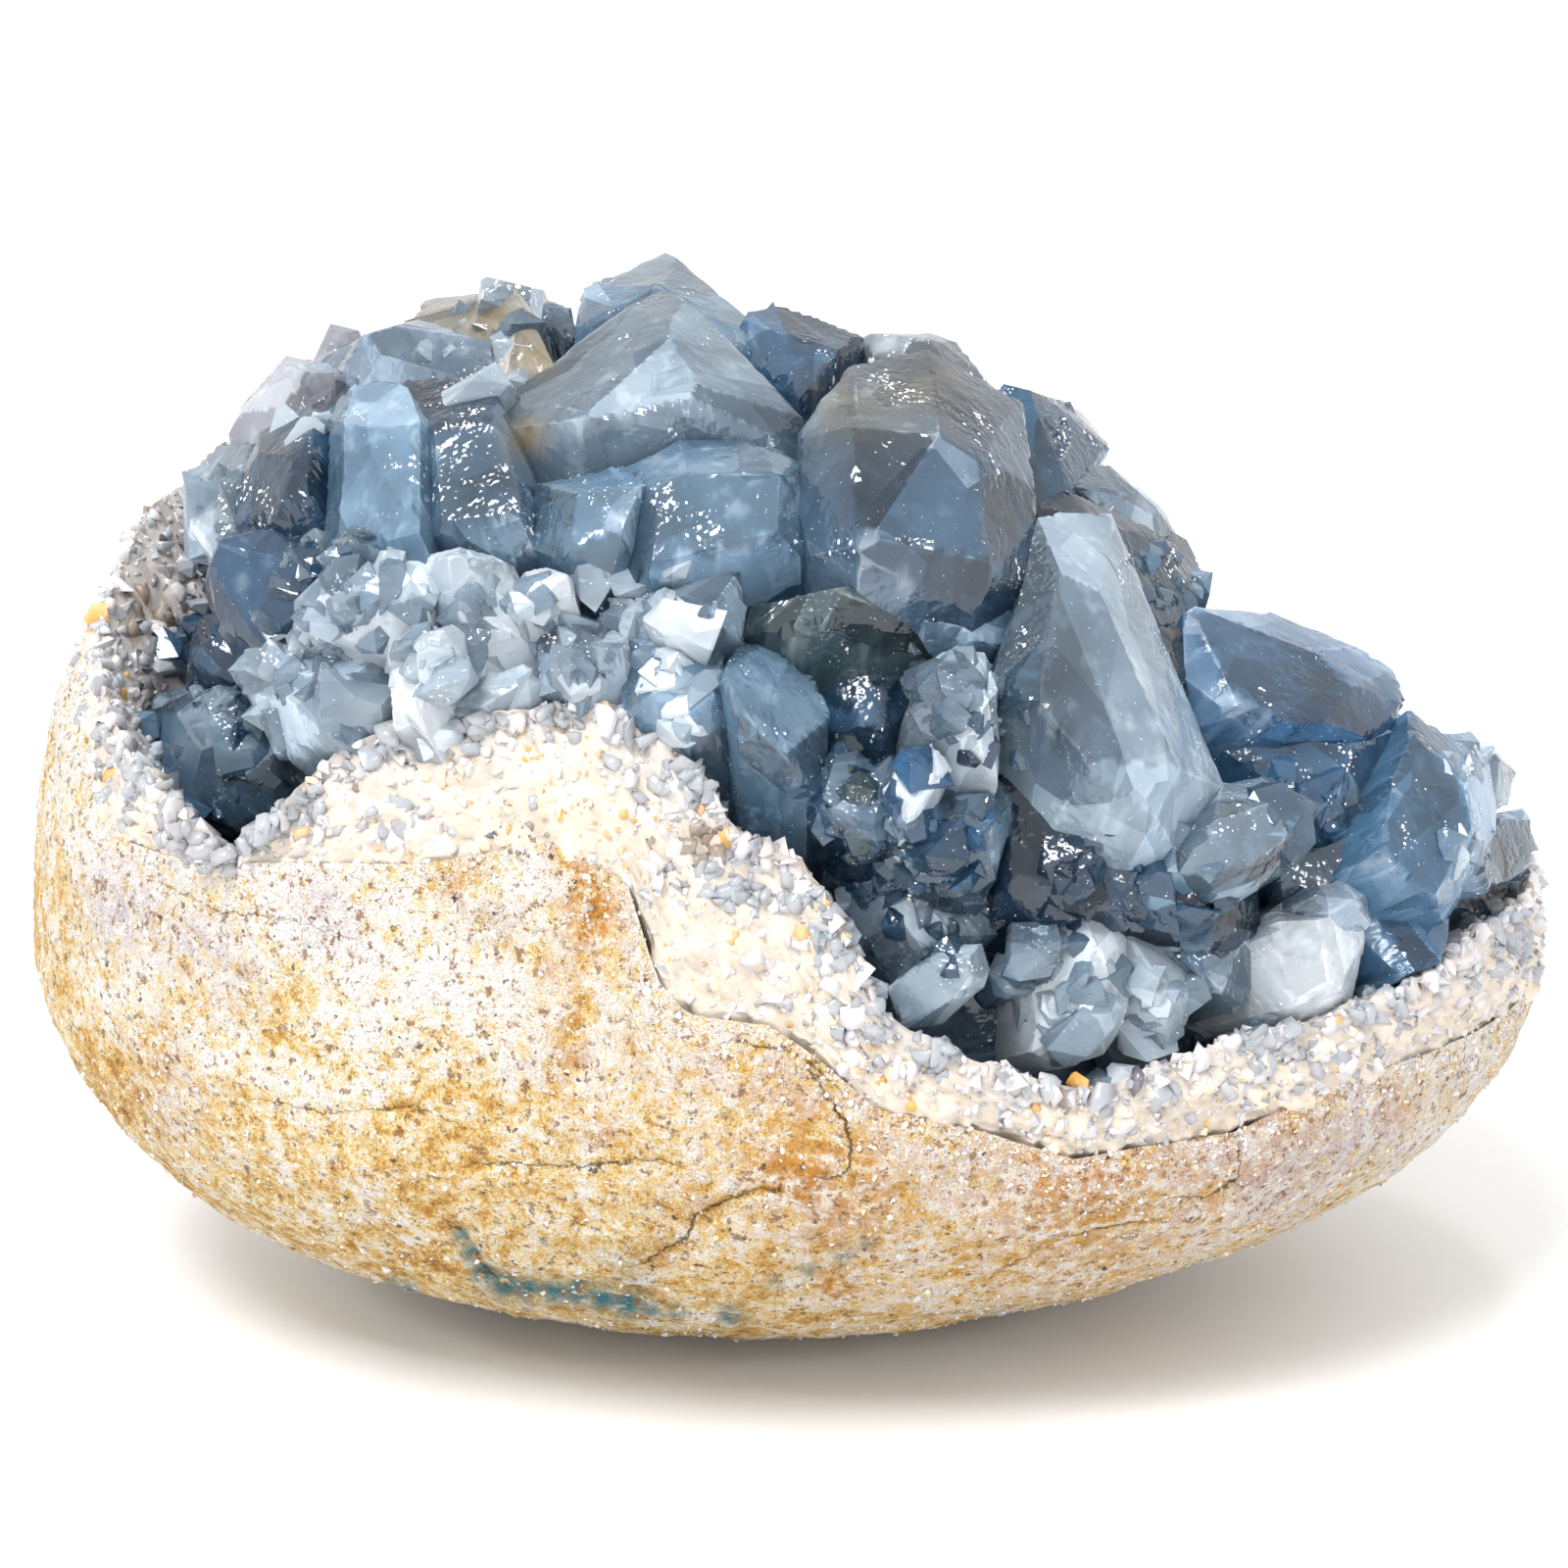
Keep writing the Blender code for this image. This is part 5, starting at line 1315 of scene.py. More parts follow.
# %% Tones of the grains
GRAIN_TONES = {
    "white": ("#d0ced2", 0.85),
    "sugar": ("#d6cecb", 0.80),
    "clear": ("#c6ccd4", 0.38),
    "grey": ("#bfbfc6", 0.42),
    "smoky": ("#8b888c", 0.35),
    "plum": ("#756f7d", 0.35),
    "cream": ("#e4d0b0", 0.95),
    "amber": ("#dba650", 0.9),
    "tan": ("#c7a173", 0.9),
    "brown": ("#93806f", 0.6),
    "black": ("#3c3733", 1.0),
}
UPPER_MIX = {"white": 0.40, "clear": 0.26, "grey": 0.10, "sugar": 0.20, "brown": 0.02, "amber": 0.02}
LOWER_MIX = {"white": 0.36, "sugar": 0.26, "cream": 0.27, "clear": 0.04, "amber": 0.05, "tan": 0.02}
# The share of full colour that each copy's tone is shaded by.
TONE_SHADE = (0.92, 1.05)
# Places on the near side, as (across, down, radius, tone, size): where the grains' kind stands out.
GRAIN_PLACES = [
    (545, 840, 90, "cream", 0.9), (500, 778, 60, "sugar", 0.9), (420, 795, 50, "sugar", 0.9),
    (590, 785, 50, "sugar", 0.9), (250, 890, 60, "sugar", 0.9), (1500, 1030, 50, "sugar", 0.9),
    (510, 845, 22, "amber", 0.7), (556, 800, 18, "amber", 0.7), (640, 872, 26, "amber", 0.7),
    (480, 828, 18, "tan", 0.7), (590, 826, 20, "tan", 0.7), (560, 880, 24, "amber", 0.7),
    (175, 590, 40, "smoky", 1.6), (150, 650, 40, "grey", 1.8), (175, 700, 40, "smoky", 1.8),
    (120, 740, 30, "grey", 1.5), (150, 620, 30, "brown", 1.4), (215, 850, 50, "grey", 1.5),
    (200, 843, 36, "grey", 1.9), (255, 850, 26, "clear", 1.4),
    (150, 800, 30, "clear", 1.6), (537, 842, 26, "brown", 1.1), (500, 850, 16, "plum", 1.0),
    (720, 860, 26, "brown", 1.3), (600, 905, 20, "tan", 1.2), (450, 778, 9, "tan", 1.0),
    (490, 778, 9, "tan", 1.0), (610, 760, 18, "cream", 0.8), (575, 850, 20, "amber", 0.7),
    (619, 745, 5, "black", 0.7), (617, 800, 5, "black", 0.7), (1140, 1084, 34, "plum", 1.5),
    (1112, 1082, 20, "grey", 1.4), (840, 1000, 26, "cream", 0.8), (1050, 1120, 40, "white", 1.1),
    (540, 775, 26, "amber", 0.7), (600, 770, 22, "amber", 0.7), (625, 850, 26, "amber", 0.7),
    (460, 800, 30, "cream", 0.9), (740, 895, 34, "clear", 1.9), (800, 915, 30, "clear", 1.9),
    (700, 800, 30, "clear", 1.8),
    (300, 815, 34, "clear", 1.6), (390, 745, 30, "clear", 1.5), (480, 735, 34, "clear", 1.5),
    (570, 725, 30, "clear", 1.4), (650, 755, 34, "clear", 1.7), (850, 960, 34, "clear", 1.8),
    (880, 1040, 30, "clear", 1.6), (960, 1085, 30, "clear", 1.6), (1290, 1060, 34, "clear", 1.6),
    (1400, 1025, 34, "clear", 1.7), (1480, 990, 34, "white", 1.6), (1540, 960, 30, "clear", 1.6),
]
print(len(GRAIN_TONES), "tones and", len(GRAIN_PLACES), "places of grains")

# %% [markdown]
# ### Copies of a few shapes
#
# Grains that stand free are small convex solids of a dozen flat faces, spread over the band by area.
# There are thousands, so each is a copy of one of a few shapes, turned, sized and placed as whole
# arrays. The grains on the stone and the heaps of small crystals are strewn in the same way.

# %% Strew copies over a grid


def convex_shapes(count, corners, squash, seed):
    """Convex solids with flat faces, each the hull of a few points scattered on a ball that is
    stretched along Z: (points, triangles) pairs."""
    rng = np.random.default_rng(seed)
    made = []
    for _ in range(count):
        spread = rng.normal(size=(corners, 3))
        spread /= np.linalg.norm(spread, axis=1)[:, None]
        bm = bmesh.new()
        for place in spread * np.array([1, 0.85, squash]):
            bm.verts.new(place)
        hull = bmesh.ops.convex_hull(bm, input=bm.verts)
        spare = {item for key in ("geom_interior", "geom_unused") for item in hull[key]}
        bmesh.ops.delete(bm, geom=[item for item in spare if isinstance(item, bmesh.types.BMVert)])
        bmesh.ops.recalc_face_normals(bm, faces=bm.faces)
        made.append(points_and_triangles(bm))
    return made


def scatter(grid, out, weight, count, rng):
    """Random places on a grid, with their outward directions and their (row, column) cells: a cell is
    drawn by area times weight, and the place in it by two random shares of its sides."""
    beside = np.roll(grid, -1, axis=1)
    area = np.linalg.norm(np.cross(grid[1:] - grid[:-1], beside[:-1] - grid[:-1]), axis=-1) * weight
    chosen = rng.choice(area.size, count, p=(area / area.sum()).ravel())
    row, column = np.unravel_index(chosen, area.shape)
    along, round_ = rng.uniform(size=(2, count, 1))
    low = grid[row, column] * (1 - round_) + beside[row, column] * round_
    high = grid[row + 1, column] * (1 - round_) + beside[row + 1, column] * round_
    return low * (1 - along) + high * along, out[row, column], row, column


def strewn(name, shapes, places, directions, sizes, tones, lean, rng, smooth_angle=None):
    """Copies of the shapes at the places. Each copy's Z axis is the outward direction leant by a
    random amount, its X axis a random one square to that, and its points are size * turned shape."""
    count = len(places)
    tall = directions + lean * rng.normal(size=(count, 3))
    tall /= np.linalg.norm(tall, axis=1)[:, None]
    side = np.cross(tall, rng.normal(size=(count, 3)))
    side /= np.linalg.norm(side, axis=1)[:, None]
    turn = np.stack([side, np.cross(tall, side), tall], 1)
    kind = rng.integers(len(shapes), size=count)
    parts = []
    colours = []
    for k, (points, triangles) in enumerate(shapes):
        rows = np.flatnonzero(kind == k)
        copies = places[rows, None] + sizes[rows, None, None] * np.einsum("pa,cab->cpb", points, turn[rows])
        shifts = np.arange(len(rows))[:, None, None] * len(points)
        parts.append((copies.reshape(-1, 3), (triangles + shifts).reshape(-1, 3)))
        colours.append(np.repeat(tones[rows], len(points), axis=0))
    points, triangles = join(parts)
    attributes = {
        "tone": np.concatenate(colours),
        "own_place": points,
        "edge_gap": np.full(len(points), FAR_FROM_EDGE),
    }
    return mesh_object(name, points, triangles, attributes, smooth_angle)


def pick_tones(mix, count, rng):
    """The names of `count` tones, drawn from a mix of names and shares."""
    return rng.choice(list(mix), count, p=np.array(list(mix.values())) / sum(mix.values()))


def tone_rows(names, palette, rng):
    """The four numbers that the finish needs of each named tone, red, green, blue and milkiness, with
    the colour made a little lighter or darker at random."""
    rows = np.array([[*linear(palette[one][0])[:3], palette[one][1]] for one in names])
    rows[:, :3] *= rng.uniform(*TONE_SHADE, (len(rows), 1))
    return rows


# %% Strew the grains over the band
GRAIN_COUNT = 9400
GRAIN_SIZE = 0.47 * MM
GRAIN_SINK = 0.45
LARGEST_GRAIN = 1.15 * MM
GRAIN_SPREAD = 0.42
LOW_SIZE, UPPER_SIZE = 0.62, 1.12
# Grains on the band's innermost rows would hide under the crystals, so there are none, then few.
BARE_SHARE, THIN_SHARE, THIN_WEIGHT = 0.5, 0.75, 0.35
WALL_WEIGHT = 1.4
NEAR_WEIGHT, FAR_WEIGHT = 1.25, 0.8
# The share of grains that take the lower mix: on the upper side, and how much more at the wall's foot.
LOW_AT_TOP, LOW_GAIN = 0.15, 0.75
PLACE_REACH = (0.5, 1.1)
PLACE_SURE = 0.8
NEAR_SIDE = 12 * MM
rng = np.random.default_rng(SEED + 1)
grain_shapes = convex_shapes(10, 10, 1.2, SEED + 2)
surface = band[: TOP_ROWS + WALL_ROWS]
surface_out = band_out[: TOP_ROWS + WALL_ROWS]
row_weight = np.where(np.arange(len(surface) - 1) < TOP_ROWS, 1.0, WALL_WEIGHT)
row_weight[: int(THIN_SHARE * TOP_ROWS)] = THIN_WEIGHT
row_weight[: int(BARE_SHARE * TOP_ROWS)] = 0.0
weight = np.repeat(row_weight[:, None], CRUST_AROUND, axis=1)
weight *= np.where(surface[:-1, :, 1] < 0, NEAR_WEIGHT, FAR_WEIGHT)
places, directions, row, column = scatter(surface, surface_out, weight, GRAIN_COUNT, rng)
lowness = np.clip((row - TOP_ROWS) / WALL_ROWS, 0, 1)
is_low = rng.uniform(size=GRAIN_COUNT) < LOW_AT_TOP + LOW_GAIN * lowness
names = np.where(is_low, pick_tones(LOWER_MIX, GRAIN_COUNT, rng), pick_tones(UPPER_MIX, GRAIN_COUNT, rng))
sizes = GRAIN_SIZE * np.exp(GRAIN_SPREAD * rng.normal(size=GRAIN_COUNT))
sizes = sizes * np.where(is_low, LOW_SIZE, UPPER_SIZE)
grain_seen = in_view(places)
for across, down, radius, tone, factor in GRAIN_PLACES:
    far_off = np.linalg.norm(grain_seen - [across, down], axis=1) / radius
    here = (far_off < rng.uniform(*PLACE_REACH, GRAIN_COUNT)) & (places[:, 1] < NEAR_SIDE)
    names = np.where(here & (rng.uniform(size=GRAIN_COUNT) < PLACE_SURE), tone, names)
    sizes = np.where(here, sizes * factor, sizes)
sizes = np.minimum(sizes, LARGEST_GRAIN)
tones = tone_rows(names, GRAIN_TONES, rng)
places = places - GRAIN_SINK * sizes[:, None] * directions
grains = strewn("druse_grains", grain_shapes, places, directions, sizes, tones, 0.5, rng, 75)

# The band itself goes from a cool to a warm tone, and its cells are lighter or darker by their number.
COOL, WARM = "#bcbdc4", "#d8c9b6"
_, _, band_number = cell_noise(band, *BAND_CELLS[0][1:])
band_row = np.arange(len(band))[:, None] + 0 * band_number
warm = np.clip((band_row - 0.6 * TOP_ROWS) / (0.4 * TOP_ROWS + 0.5 * WALL_ROWS), 0, 1)[..., None]
band_colour = np.array(linear(COOL)[:3]) * (1 - warm) + np.array(linear(WARM)[:3]) * warm
band_colour *= (0.76 + 0.34 * band_number)[..., None]
band_milk = np.clip(1.15 - 0.7 * band_number + 0.4 * warm[..., 0], 0.4, 1)
band_tones = np.column_stack([band_colour.reshape(-1, 3), band_milk.ravel()])
crust = mesh_object("druse_band", band.reshape(-1, 3), quads, {"tone": band_tones}, 70)

# %% [markdown]
# ### Loose grains on the stone
#
# The limestone itself is rough with grains of a quarter to half a millimetre. They stand out at its
# outline, and just under the rim they are so many and so white that the crust seems to run down over
# the stone. They are strewn in the same way over the outside of the stone's grid.

# %% Strew the stone's grains
STONE_GRAINS = 4500
STONE_GRAIN_SIZE = 0.19 * MM
STONE_GRAIN_SPREAD = 0.30
STONE_MIX = {"white": 0.40, "cream": 0.28, "sugar": 0.15, "amber": 0.06, "tan": 0.07, "brown": 0.04}
# How crowded they are: everywhere, and how much more at the rim, which dies out with this depth.
EVEN_CROWD, RIM_CROWD, CROWD_DEPTH = 0.35, 4, 2.2 * MM
FAR_CROWD = 0.45
GRAINLESS_FOOT = 0.6 * MM
rng = np.random.default_rng(SEED + 5)
sand_shapes = convex_shapes(6, 7, 0.8, SEED + 6)
outer = slice(SPOT_ROWS, SPOT_ROWS + OUTER_ROWS)
crowd = EVEN_CROWD + RIM_CROWD * np.exp(-below_rim[outer][:-1] / CROWD_DEPTH)
crowd = crowd * np.where(stone_points[outer][:-1, :, 1] < 0, 1.0, FAR_CROWD)
crowd *= stone_points[outer][:-1, :, 2] > GRAINLESS_FOOT
places, directions, _, _ = scatter(stone_points[outer], outward[outer], crowd, STONE_GRAINS, rng)
sizes = STONE_GRAIN_SIZE * np.exp(STONE_GRAIN_SPREAD * rng.normal(size=STONE_GRAINS))
tones = tone_rows(pick_tones(STONE_MIX, STONE_GRAINS, rng), GRAIN_TONES, rng)
sand_grains = strewn("limestone_grains", sand_shapes, places, directions, sizes, tones, 0.4, rng)

# %% [markdown]
# ### Small celestite between the crust and the large crystals
#
# Where the large crystals stand in the crust, smaller ones two to four millimetres across fill the
# gaps. They are strewn in the same way, but larger and clearer, and they take the celestite's finish.

# %% Strew the small celestite crystals where the crust ends
SMALL_COUNT = 620
SMALL_MIX = {"light": 0.28, "milky": 0.26, "grey": 0.16, "mid": 0.14, "frosty": 0.10, "deep": 0.06}
SMALL_ROWS = (0.68, 0.97)
SMALL_SIZE = (0.9, 1.9)
rng = np.random.default_rng(SEED + 3)
small_shapes = convex_shapes(8, 16, 1.25, SEED + 4)
row_weight = np.zeros(len(surface) - 1)
row_weight[int(SMALL_ROWS[0] * TOP_ROWS) : int(SMALL_ROWS[1] * TOP_ROWS)] = 1
weight = np.repeat(row_weight[:, None], CRUST_AROUND, axis=1)
places, directions, _, _ = scatter(surface, surface_out, weight, SMALL_COUNT, rng)
sizes = rng.uniform(*SMALL_SIZE, SMALL_COUNT) * MM
tones = tone_rows(pick_tones(SMALL_MIX, SMALL_COUNT, rng), TONES, rng)
small = strewn("celestite_small", small_shapes, places, directions, sizes, tones, 0.45, rng)

# %% [markdown]
# ### Heaps of small crystals
#
# Between the large crystals, and on some of their faces, the photograph shows heaps of small broken
# ones. Each heap is a round area in the view. The sight lines through random points of it are followed
# to the first large crystal, and a small one is set there, leant by a random amount from that face.

# %% Grow the heaps on the large crystals, and add the mass they all grow from
# Each heap: across, down and radius in the view, number, size in mm, and tones.
HEAPS = [
    (300, 600, 55, 14, 1.9, ("light", "pale", "grey")), (365, 590, 45, 14, 1.8, ("pale", "light", "grey")),
    (430, 640, 60, 14, 1.8, ("pale", "light", "milky")), (310, 695, 65, 18, 1.9, ("light", "grey", "pale")),
    (500, 610, 45, 12, 1.4, ("pale", "milky", "light")), (575, 655, 45, 12, 1.5, ("pale", "light", "milky")),
    (665, 625, 50, 12, 1.8, ("light", "milky", "pale")), (690, 700, 50, 16, 1.6, ("light", "pale", "milky")),
    (480, 705, 60, 14, 1.5, ("pale", "light", "milky")), (870, 810, 50, 30, 1.6, ("steel", "olive", "dark")),
    (960, 850, 55, 34, 1.7, ("steel", "dark", "deep")), (905, 900, 50, 24, 1.6, ("steel", "olive", "dark")),
    (960, 700, 45, 20, 1.5, ("pale", "light", "grey")), (980, 940, 50, 24, 1.5, ("steel", "dark", "grey")),
    (1110, 905, 55, 22, 1.6, ("dark", "steel", "black")),
    (1080, 1010, 50, 22, 1.6, ("pale", "light", "milky")),
    (1180, 1020, 50, 22, 1.5, ("pale", "light", "grey")), (1210, 930, 50, 22, 1.6, ("steel", "dark", "mid")),
    (1190, 590, 40, 26, 1.4, ("steel", "grey", "mid")), (1100, 445, 35, 16, 1.4, ("teal", "steel", "grey")),
    (1340, 825, 50, 20, 1.6, ("steel", "deep", "mid")), (1505, 865, 28, 16, 1.3, ("light", "pale", "mid")),
    (215, 520, 40, 14, 1.6, ("pale", "light", "grey")), (480, 345, 60, 12, 1.8, ("smoky", "pale", "grey")),
    (300, 400, 45, 12, 1.7, ("pinkish", "pale", "milky")), (220, 760, 60, 26, 1.5, ("dark", "steel", "grey")),
    (1010, 750, 45, 14, 1.3, ("dark", "black", "steel")),
    (1490, 765, 28, 10, 1.3, ("pale", "light", "milky")),
]
HEAP_SINK = 0.62
HEAP_SPREAD = 0.35
HEART_SHARE = 0.79
HEART_TONE = ("#6f8ca5", 0.3)
rng = np.random.default_rng(SEED + 8)


def first_met(seen, pieces):
    """Places and outward directions where the sight lines through points of the view first meet the
    pieces, and which of the lines meet any."""
    steps = (np.array(seen) - VIEW_MIDDLE) * VIEW_STEP
    sight = FORWARD * VIEW_DISTANCE + steps[:, :1] * RIGHT - steps[:, 1:] * UP
    graph = bpy.context.evaluated_depsgraph_get()
    trees = [BVHTree.FromObject(piece, graph) for piece in pieces]
    met = []
    for k, line in enumerate(sight):
        hits = [tree.ray_cast(Vector(EYE), Vector(line)) for tree in trees]
        hits = [hit for hit in hits if hit[0] is not None]
        if hits:
            place, direction, _, _ = min(hits, key=lambda hit: hit[3])
            met.append((k, *place, *direction))
    met = np.array(met)
    return met[:, 1:4], met[:, 4:], met[:, 0].astype(int)


counts = [heap[3] for heap in HEAPS]
heap_of = np.repeat(np.arange(len(HEAPS)), counts)
turns = rng.uniform(0, 2 * math.pi, len(heap_of))
radii = np.array([heap[2] for heap in HEAPS])[heap_of] * np.sqrt(rng.uniform(size=len(heap_of)))
centres = np.array([heap[:2] for heap in HEAPS])[heap_of]
seen = centres + radii[:, None] * np.column_stack([np.cos(turns), np.sin(turns)])
places, directions, met = first_met(seen, crystal_pieces)
sizes = np.array([heap[4] for heap in HEAPS])[heap_of[met]]
sizes = sizes * np.exp(HEAP_SPREAD * rng.normal(size=len(met))) * MM
places = places - HEAP_SINK * sizes[:, None] * directions
names = [HEAPS[heap_of[k]][5][rng.integers(3)] for k in met]
heap_shapes = convex_shapes(12, 14, 1.05, SEED + 9)
heaps = strewn(
    "celestite_heaps", heap_shapes, places, directions, sizes, tone_rows(names, TONES, rng), 0.35, rng
)

# The mass is the nodule's own form, a little smaller, cut off flat above the hollow's floor.
heart_points, heart_triangles = ball(5)
x = MIDDLE_X + HALF_LENGTH * HEART_SHARE * heart_points[:, 0]
tall = np.where(heart_points[:, 2] > 0, crown_height(x, True), WAIST_HEIGHT) * HEART_SHARE
heart_points = np.stack(
    [x, HALF_DEPTH * HEART_SHARE * heart_points[:, 1], WAIST_HEIGHT + tall * heart_points[:, 2]], -1
)
heart_points[:, 2] = np.maximum(heart_points[:, 2], HOLLOW_FLOOR + CRUST_THINNEST)
heart_tones = np.tile([*linear(HEART_TONE[0])[:3], HEART_TONE[1]], (len(heart_points), 1))
heart_attributes = {
    "tone": heart_tones,
    "own_place": heart_points,
    "edge_gap": np.full(len(heart_points), FAR_FROM_EDGE),
}
heart = mesh_object("celestite_heart", heart_points, heart_triangles, heart_attributes, 40)

# %% [markdown]
# ## Finish of the celestite
#
# Celestite is strontium sulphate, clear to milky and pale blue, with a glassy lustre and a refractive
# index of 1.62. Its faces are natural growth faces and cleavages, dotted with tiny pits that catch the
# light; the white sparks on them are painted highlights in the colour, with pits in the relief below
# them. The shader lets most light through, and veils of milkiness, which are fine fluid bubbles in the
# real crystal, scatter the rest. A plain volume absorption inside makes thick places bluer.

# %% Make the celestite's finish
celestite, tree = new_material("natural_celestite_crystal")
own = node(tree, "Attribute", {}, 1, attribute_name="own_place")
edge = node(tree, "Attribute", {}, 2, attribute_name="edge_gap")
tone = node(tree, "Attribute", {}, attribute_name="tone")
milk = tone.node.outputs["Alpha"]

# Cleavages inside the crystal: flat-sided cells 4 to 10 mm across, each clearer or mistier.
flats_space = node(tree, "Mapping", {0: own, 2: (0.3, 0.5, 0.2), 3: (0.5, 0.8, 1.5)})
flats = node(tree, "TexVoronoi", {"Vector": flats_space, "Scale": scale_of(5.26)})
flat_numbers = node(tree, "SeparateColor", {0: flats.node.outputs["Color"]})
flat_milk = node(tree, "MapRange", {0: flat_numbers, 1: 0.0, 2: 1.0, 3: -0.16, 4: 0.16})
flat_most = node(tree, "MapRange", {0: milk, 1: 0.3, 2: 0.6, 3: 0.42, 4: 0.08})
flat_depth = node(
    tree, "MapRange", {0: flat_numbers.node.outputs[1], 1: 0.45, 2: 1.0, 3: 0.0, 4: flat_most}
)

# Mist, in soft clouds and in finer wisps drawn out along the crystal.
cloud = node(tree, "TexNoise", {"Vector": own, "Scale": scale_of(9.1), "Detail": 2, "Roughness": 0.5})
cloud = node(tree, "MapRange", {0: cloud, 1: 0.35, 2: 0.70, 3: -0.10, 4: 0.24})
wisp_space = node(tree, "Mapping", {0: own, 3: (scale_of(8.3), scale_of(1.92), scale_of(1.92))})
wisps = node(tree, "TexNoise", {"Vector": wisp_space, "Scale": 1.0, "Detail": 2, "Roughness": 0.65})
wisps = node(tree, "MapRange", {0: wisps, 1: 0.52, 2: 0.75, 3: 0.0, 4: 0.22})

# Painted highlight along the bruised edges: a pale line about a third of a millimetre wide, broken up by
# noise.
fray = node(tree, "TexNoise", {"Vector": own, "Scale": scale_of(1.11), "Detail": 1, "Roughness": 0.6})
edge_width = node(tree, "MapRange", {0: fray, 1: 0.40, 2: 0.65, 3: 0.02, 4: 0.30})
edge_share = node(tree, "Math", {0: edge, 1: edge_width}, operation="DIVIDE")
edge_area = node(tree, "TexNoise", {"Vector": own, "Scale": scale_of(6.25), "Detail": 1})
edge_most = node(tree, "MapRange", {0: edge_area, 1: 0.48, 2: 0.66, 3: 0.0, 4: 0.26})
painted_edge_highlight = node(tree, "MapRange", {0: edge_share, 1: 0.1, 2: 1.0, 3: edge_most, 4: 0.0})

# Sparks: painted highlights, white specks one to three tenths of a millimetre wide in the colour, which
# also stand for broken white chips, in patches and at the painted glints.
spark_space = node(tree, "Mapping", {0: own, 3: (0.8, 1.5, 1.5)})
spark_cells = node(tree, "TexVoronoi", {"Vector": spark_space, "Scale": scale_of(0.417)})
spark_number = node(tree, "SeparateColor", {0: spark_cells.node.outputs["Color"]})
spark_area = node(tree, "TexNoise", {"Vector": own, "Scale": scale_of(4.35), "Detail": 2, "Roughness": 0.70})
painted_glint = node(tree, "Attribute", {}, 2, attribute_name="painted_glint")
glint_shift = node(tree, "Math", {0: painted_glint, 1: 0.19}, operation="MULTIPLY")
spark_area = node(tree, "Math", {0: spark_area, 1: glint_shift}, operation="ADD")
spark_size = node(tree, "MapRange", {0: spark_area, 1: 0.58, 2: 0.76, 3: 0.0, 4: 1.0})
spark_share = node(tree, "Math", {0: spark_number, 1: 3.0}, operation="POWER")
spark_size = node(tree, "Math", {0: spark_size, 1: spark_share}, operation="MULTIPLY")
spark_fray = node(tree, "TexNoise", {"Vector": own, "Scale": scale_of(0.357), "Detail": 0})
spark_fray = node(tree, "MapRange", {0: spark_fray, 1: 0.3, 2: 0.7, 3: -0.12, 4: 0.16})
spark_reach = node(tree, "Math", {0: spark_cells, 1: spark_fray}, operation="ADD")
spark_rest = node(tree, "Math", {0: spark_size, 1: spark_reach}, operation="SUBTRACT")
chips_and_painted_glints = node(tree, "MapRange", {0: spark_rest, 1: 0.0, 2: 0.02, 3: 0.0, 4: 1.0})

milky = milk
for layer in (flat_milk, cloud, wisps, painted_edge_highlight, chips_and_painted_glints):
    milky = node(tree, "Math", {0: milky, 1: layer}, operation="ADD")
milky = node(tree, "Clamp", {0: milky})

deeper = node(tree, "Mix", {0: flat_depth, 6: tone, 7: "#3d6384"}, 2, data_type="RGBA")
paler = node(tree, "MapRange", {0: milky, 1: 0.40, 2: 1.0, 3: 0.0, 4: 0.65})
colour = node(tree, "Mix", {0: paler, 6: deeper, 7: "#e9f0f6"}, 2, data_type="RGBA")
colour = node(tree, "Mix", {0: chips_and_painted_glints, 6: colour, 7: "#ffffff"}, 2, data_type="RGBA")
through = node(tree, "MapRange", {0: milky, 1: 0.0, 2: 1.0, 3: 0.88, 4: 0.12})

# Relief: low ripples, drawn out along the crystal, and pits where the sparks are.
ripple_space = node(tree, "Mapping", {0: own, 3: (0.6, 1.3, 1.3)})
ripples = node(
    tree, "TexNoise", {"Vector": ripple_space, "Scale": scale_of(3.03), "Detail": 3, "Roughness": 0.70}
)
pits = node(tree, "TexNoise", {"Vector": own, "Scale": scale_of(0.667), "Detail": 1, "Roughness": 0.6})
pit_strength = node(tree, "MapRange", {0: spark_area, 1: 0.46, 2: 0.66, 3: 0.05, 4: 1.0})
waved = node(tree, "Bump", {"Strength": 0.38, "Distance": 0.22 * MM, "Height": ripples})
pitted = node(
    tree, "Bump", {"Strength": pit_strength, "Distance": 0.20 * MM, "Height": pits, "Normal": waved}
)
gloss = node(tree, "MapRange", {0: milky, 1: 0.2, 2: 1.0, 3: 0.07, 4: 0.30})

surface_shader = node(tree, "BsdfPrincipled", {
    "Base Color": colour, "Roughness": gloss, "IOR": 1.62, "Transmission Weight": through, "Normal": pitted,
})
inside = node(tree, "VolumeAbsorption", {"Color": "#7fb2e2", "Density": 24.0})
node(tree, "OutputMaterial", {"Surface": surface_shader, "Volume": inside})

# %% [markdown]
# ## Finish of the druse
#
# The crust's grains are the same mineral with calcite among it, too small and too cracked to be clear.
# They look like coarse sugar: white, with a soft sheen and a little light coming through.

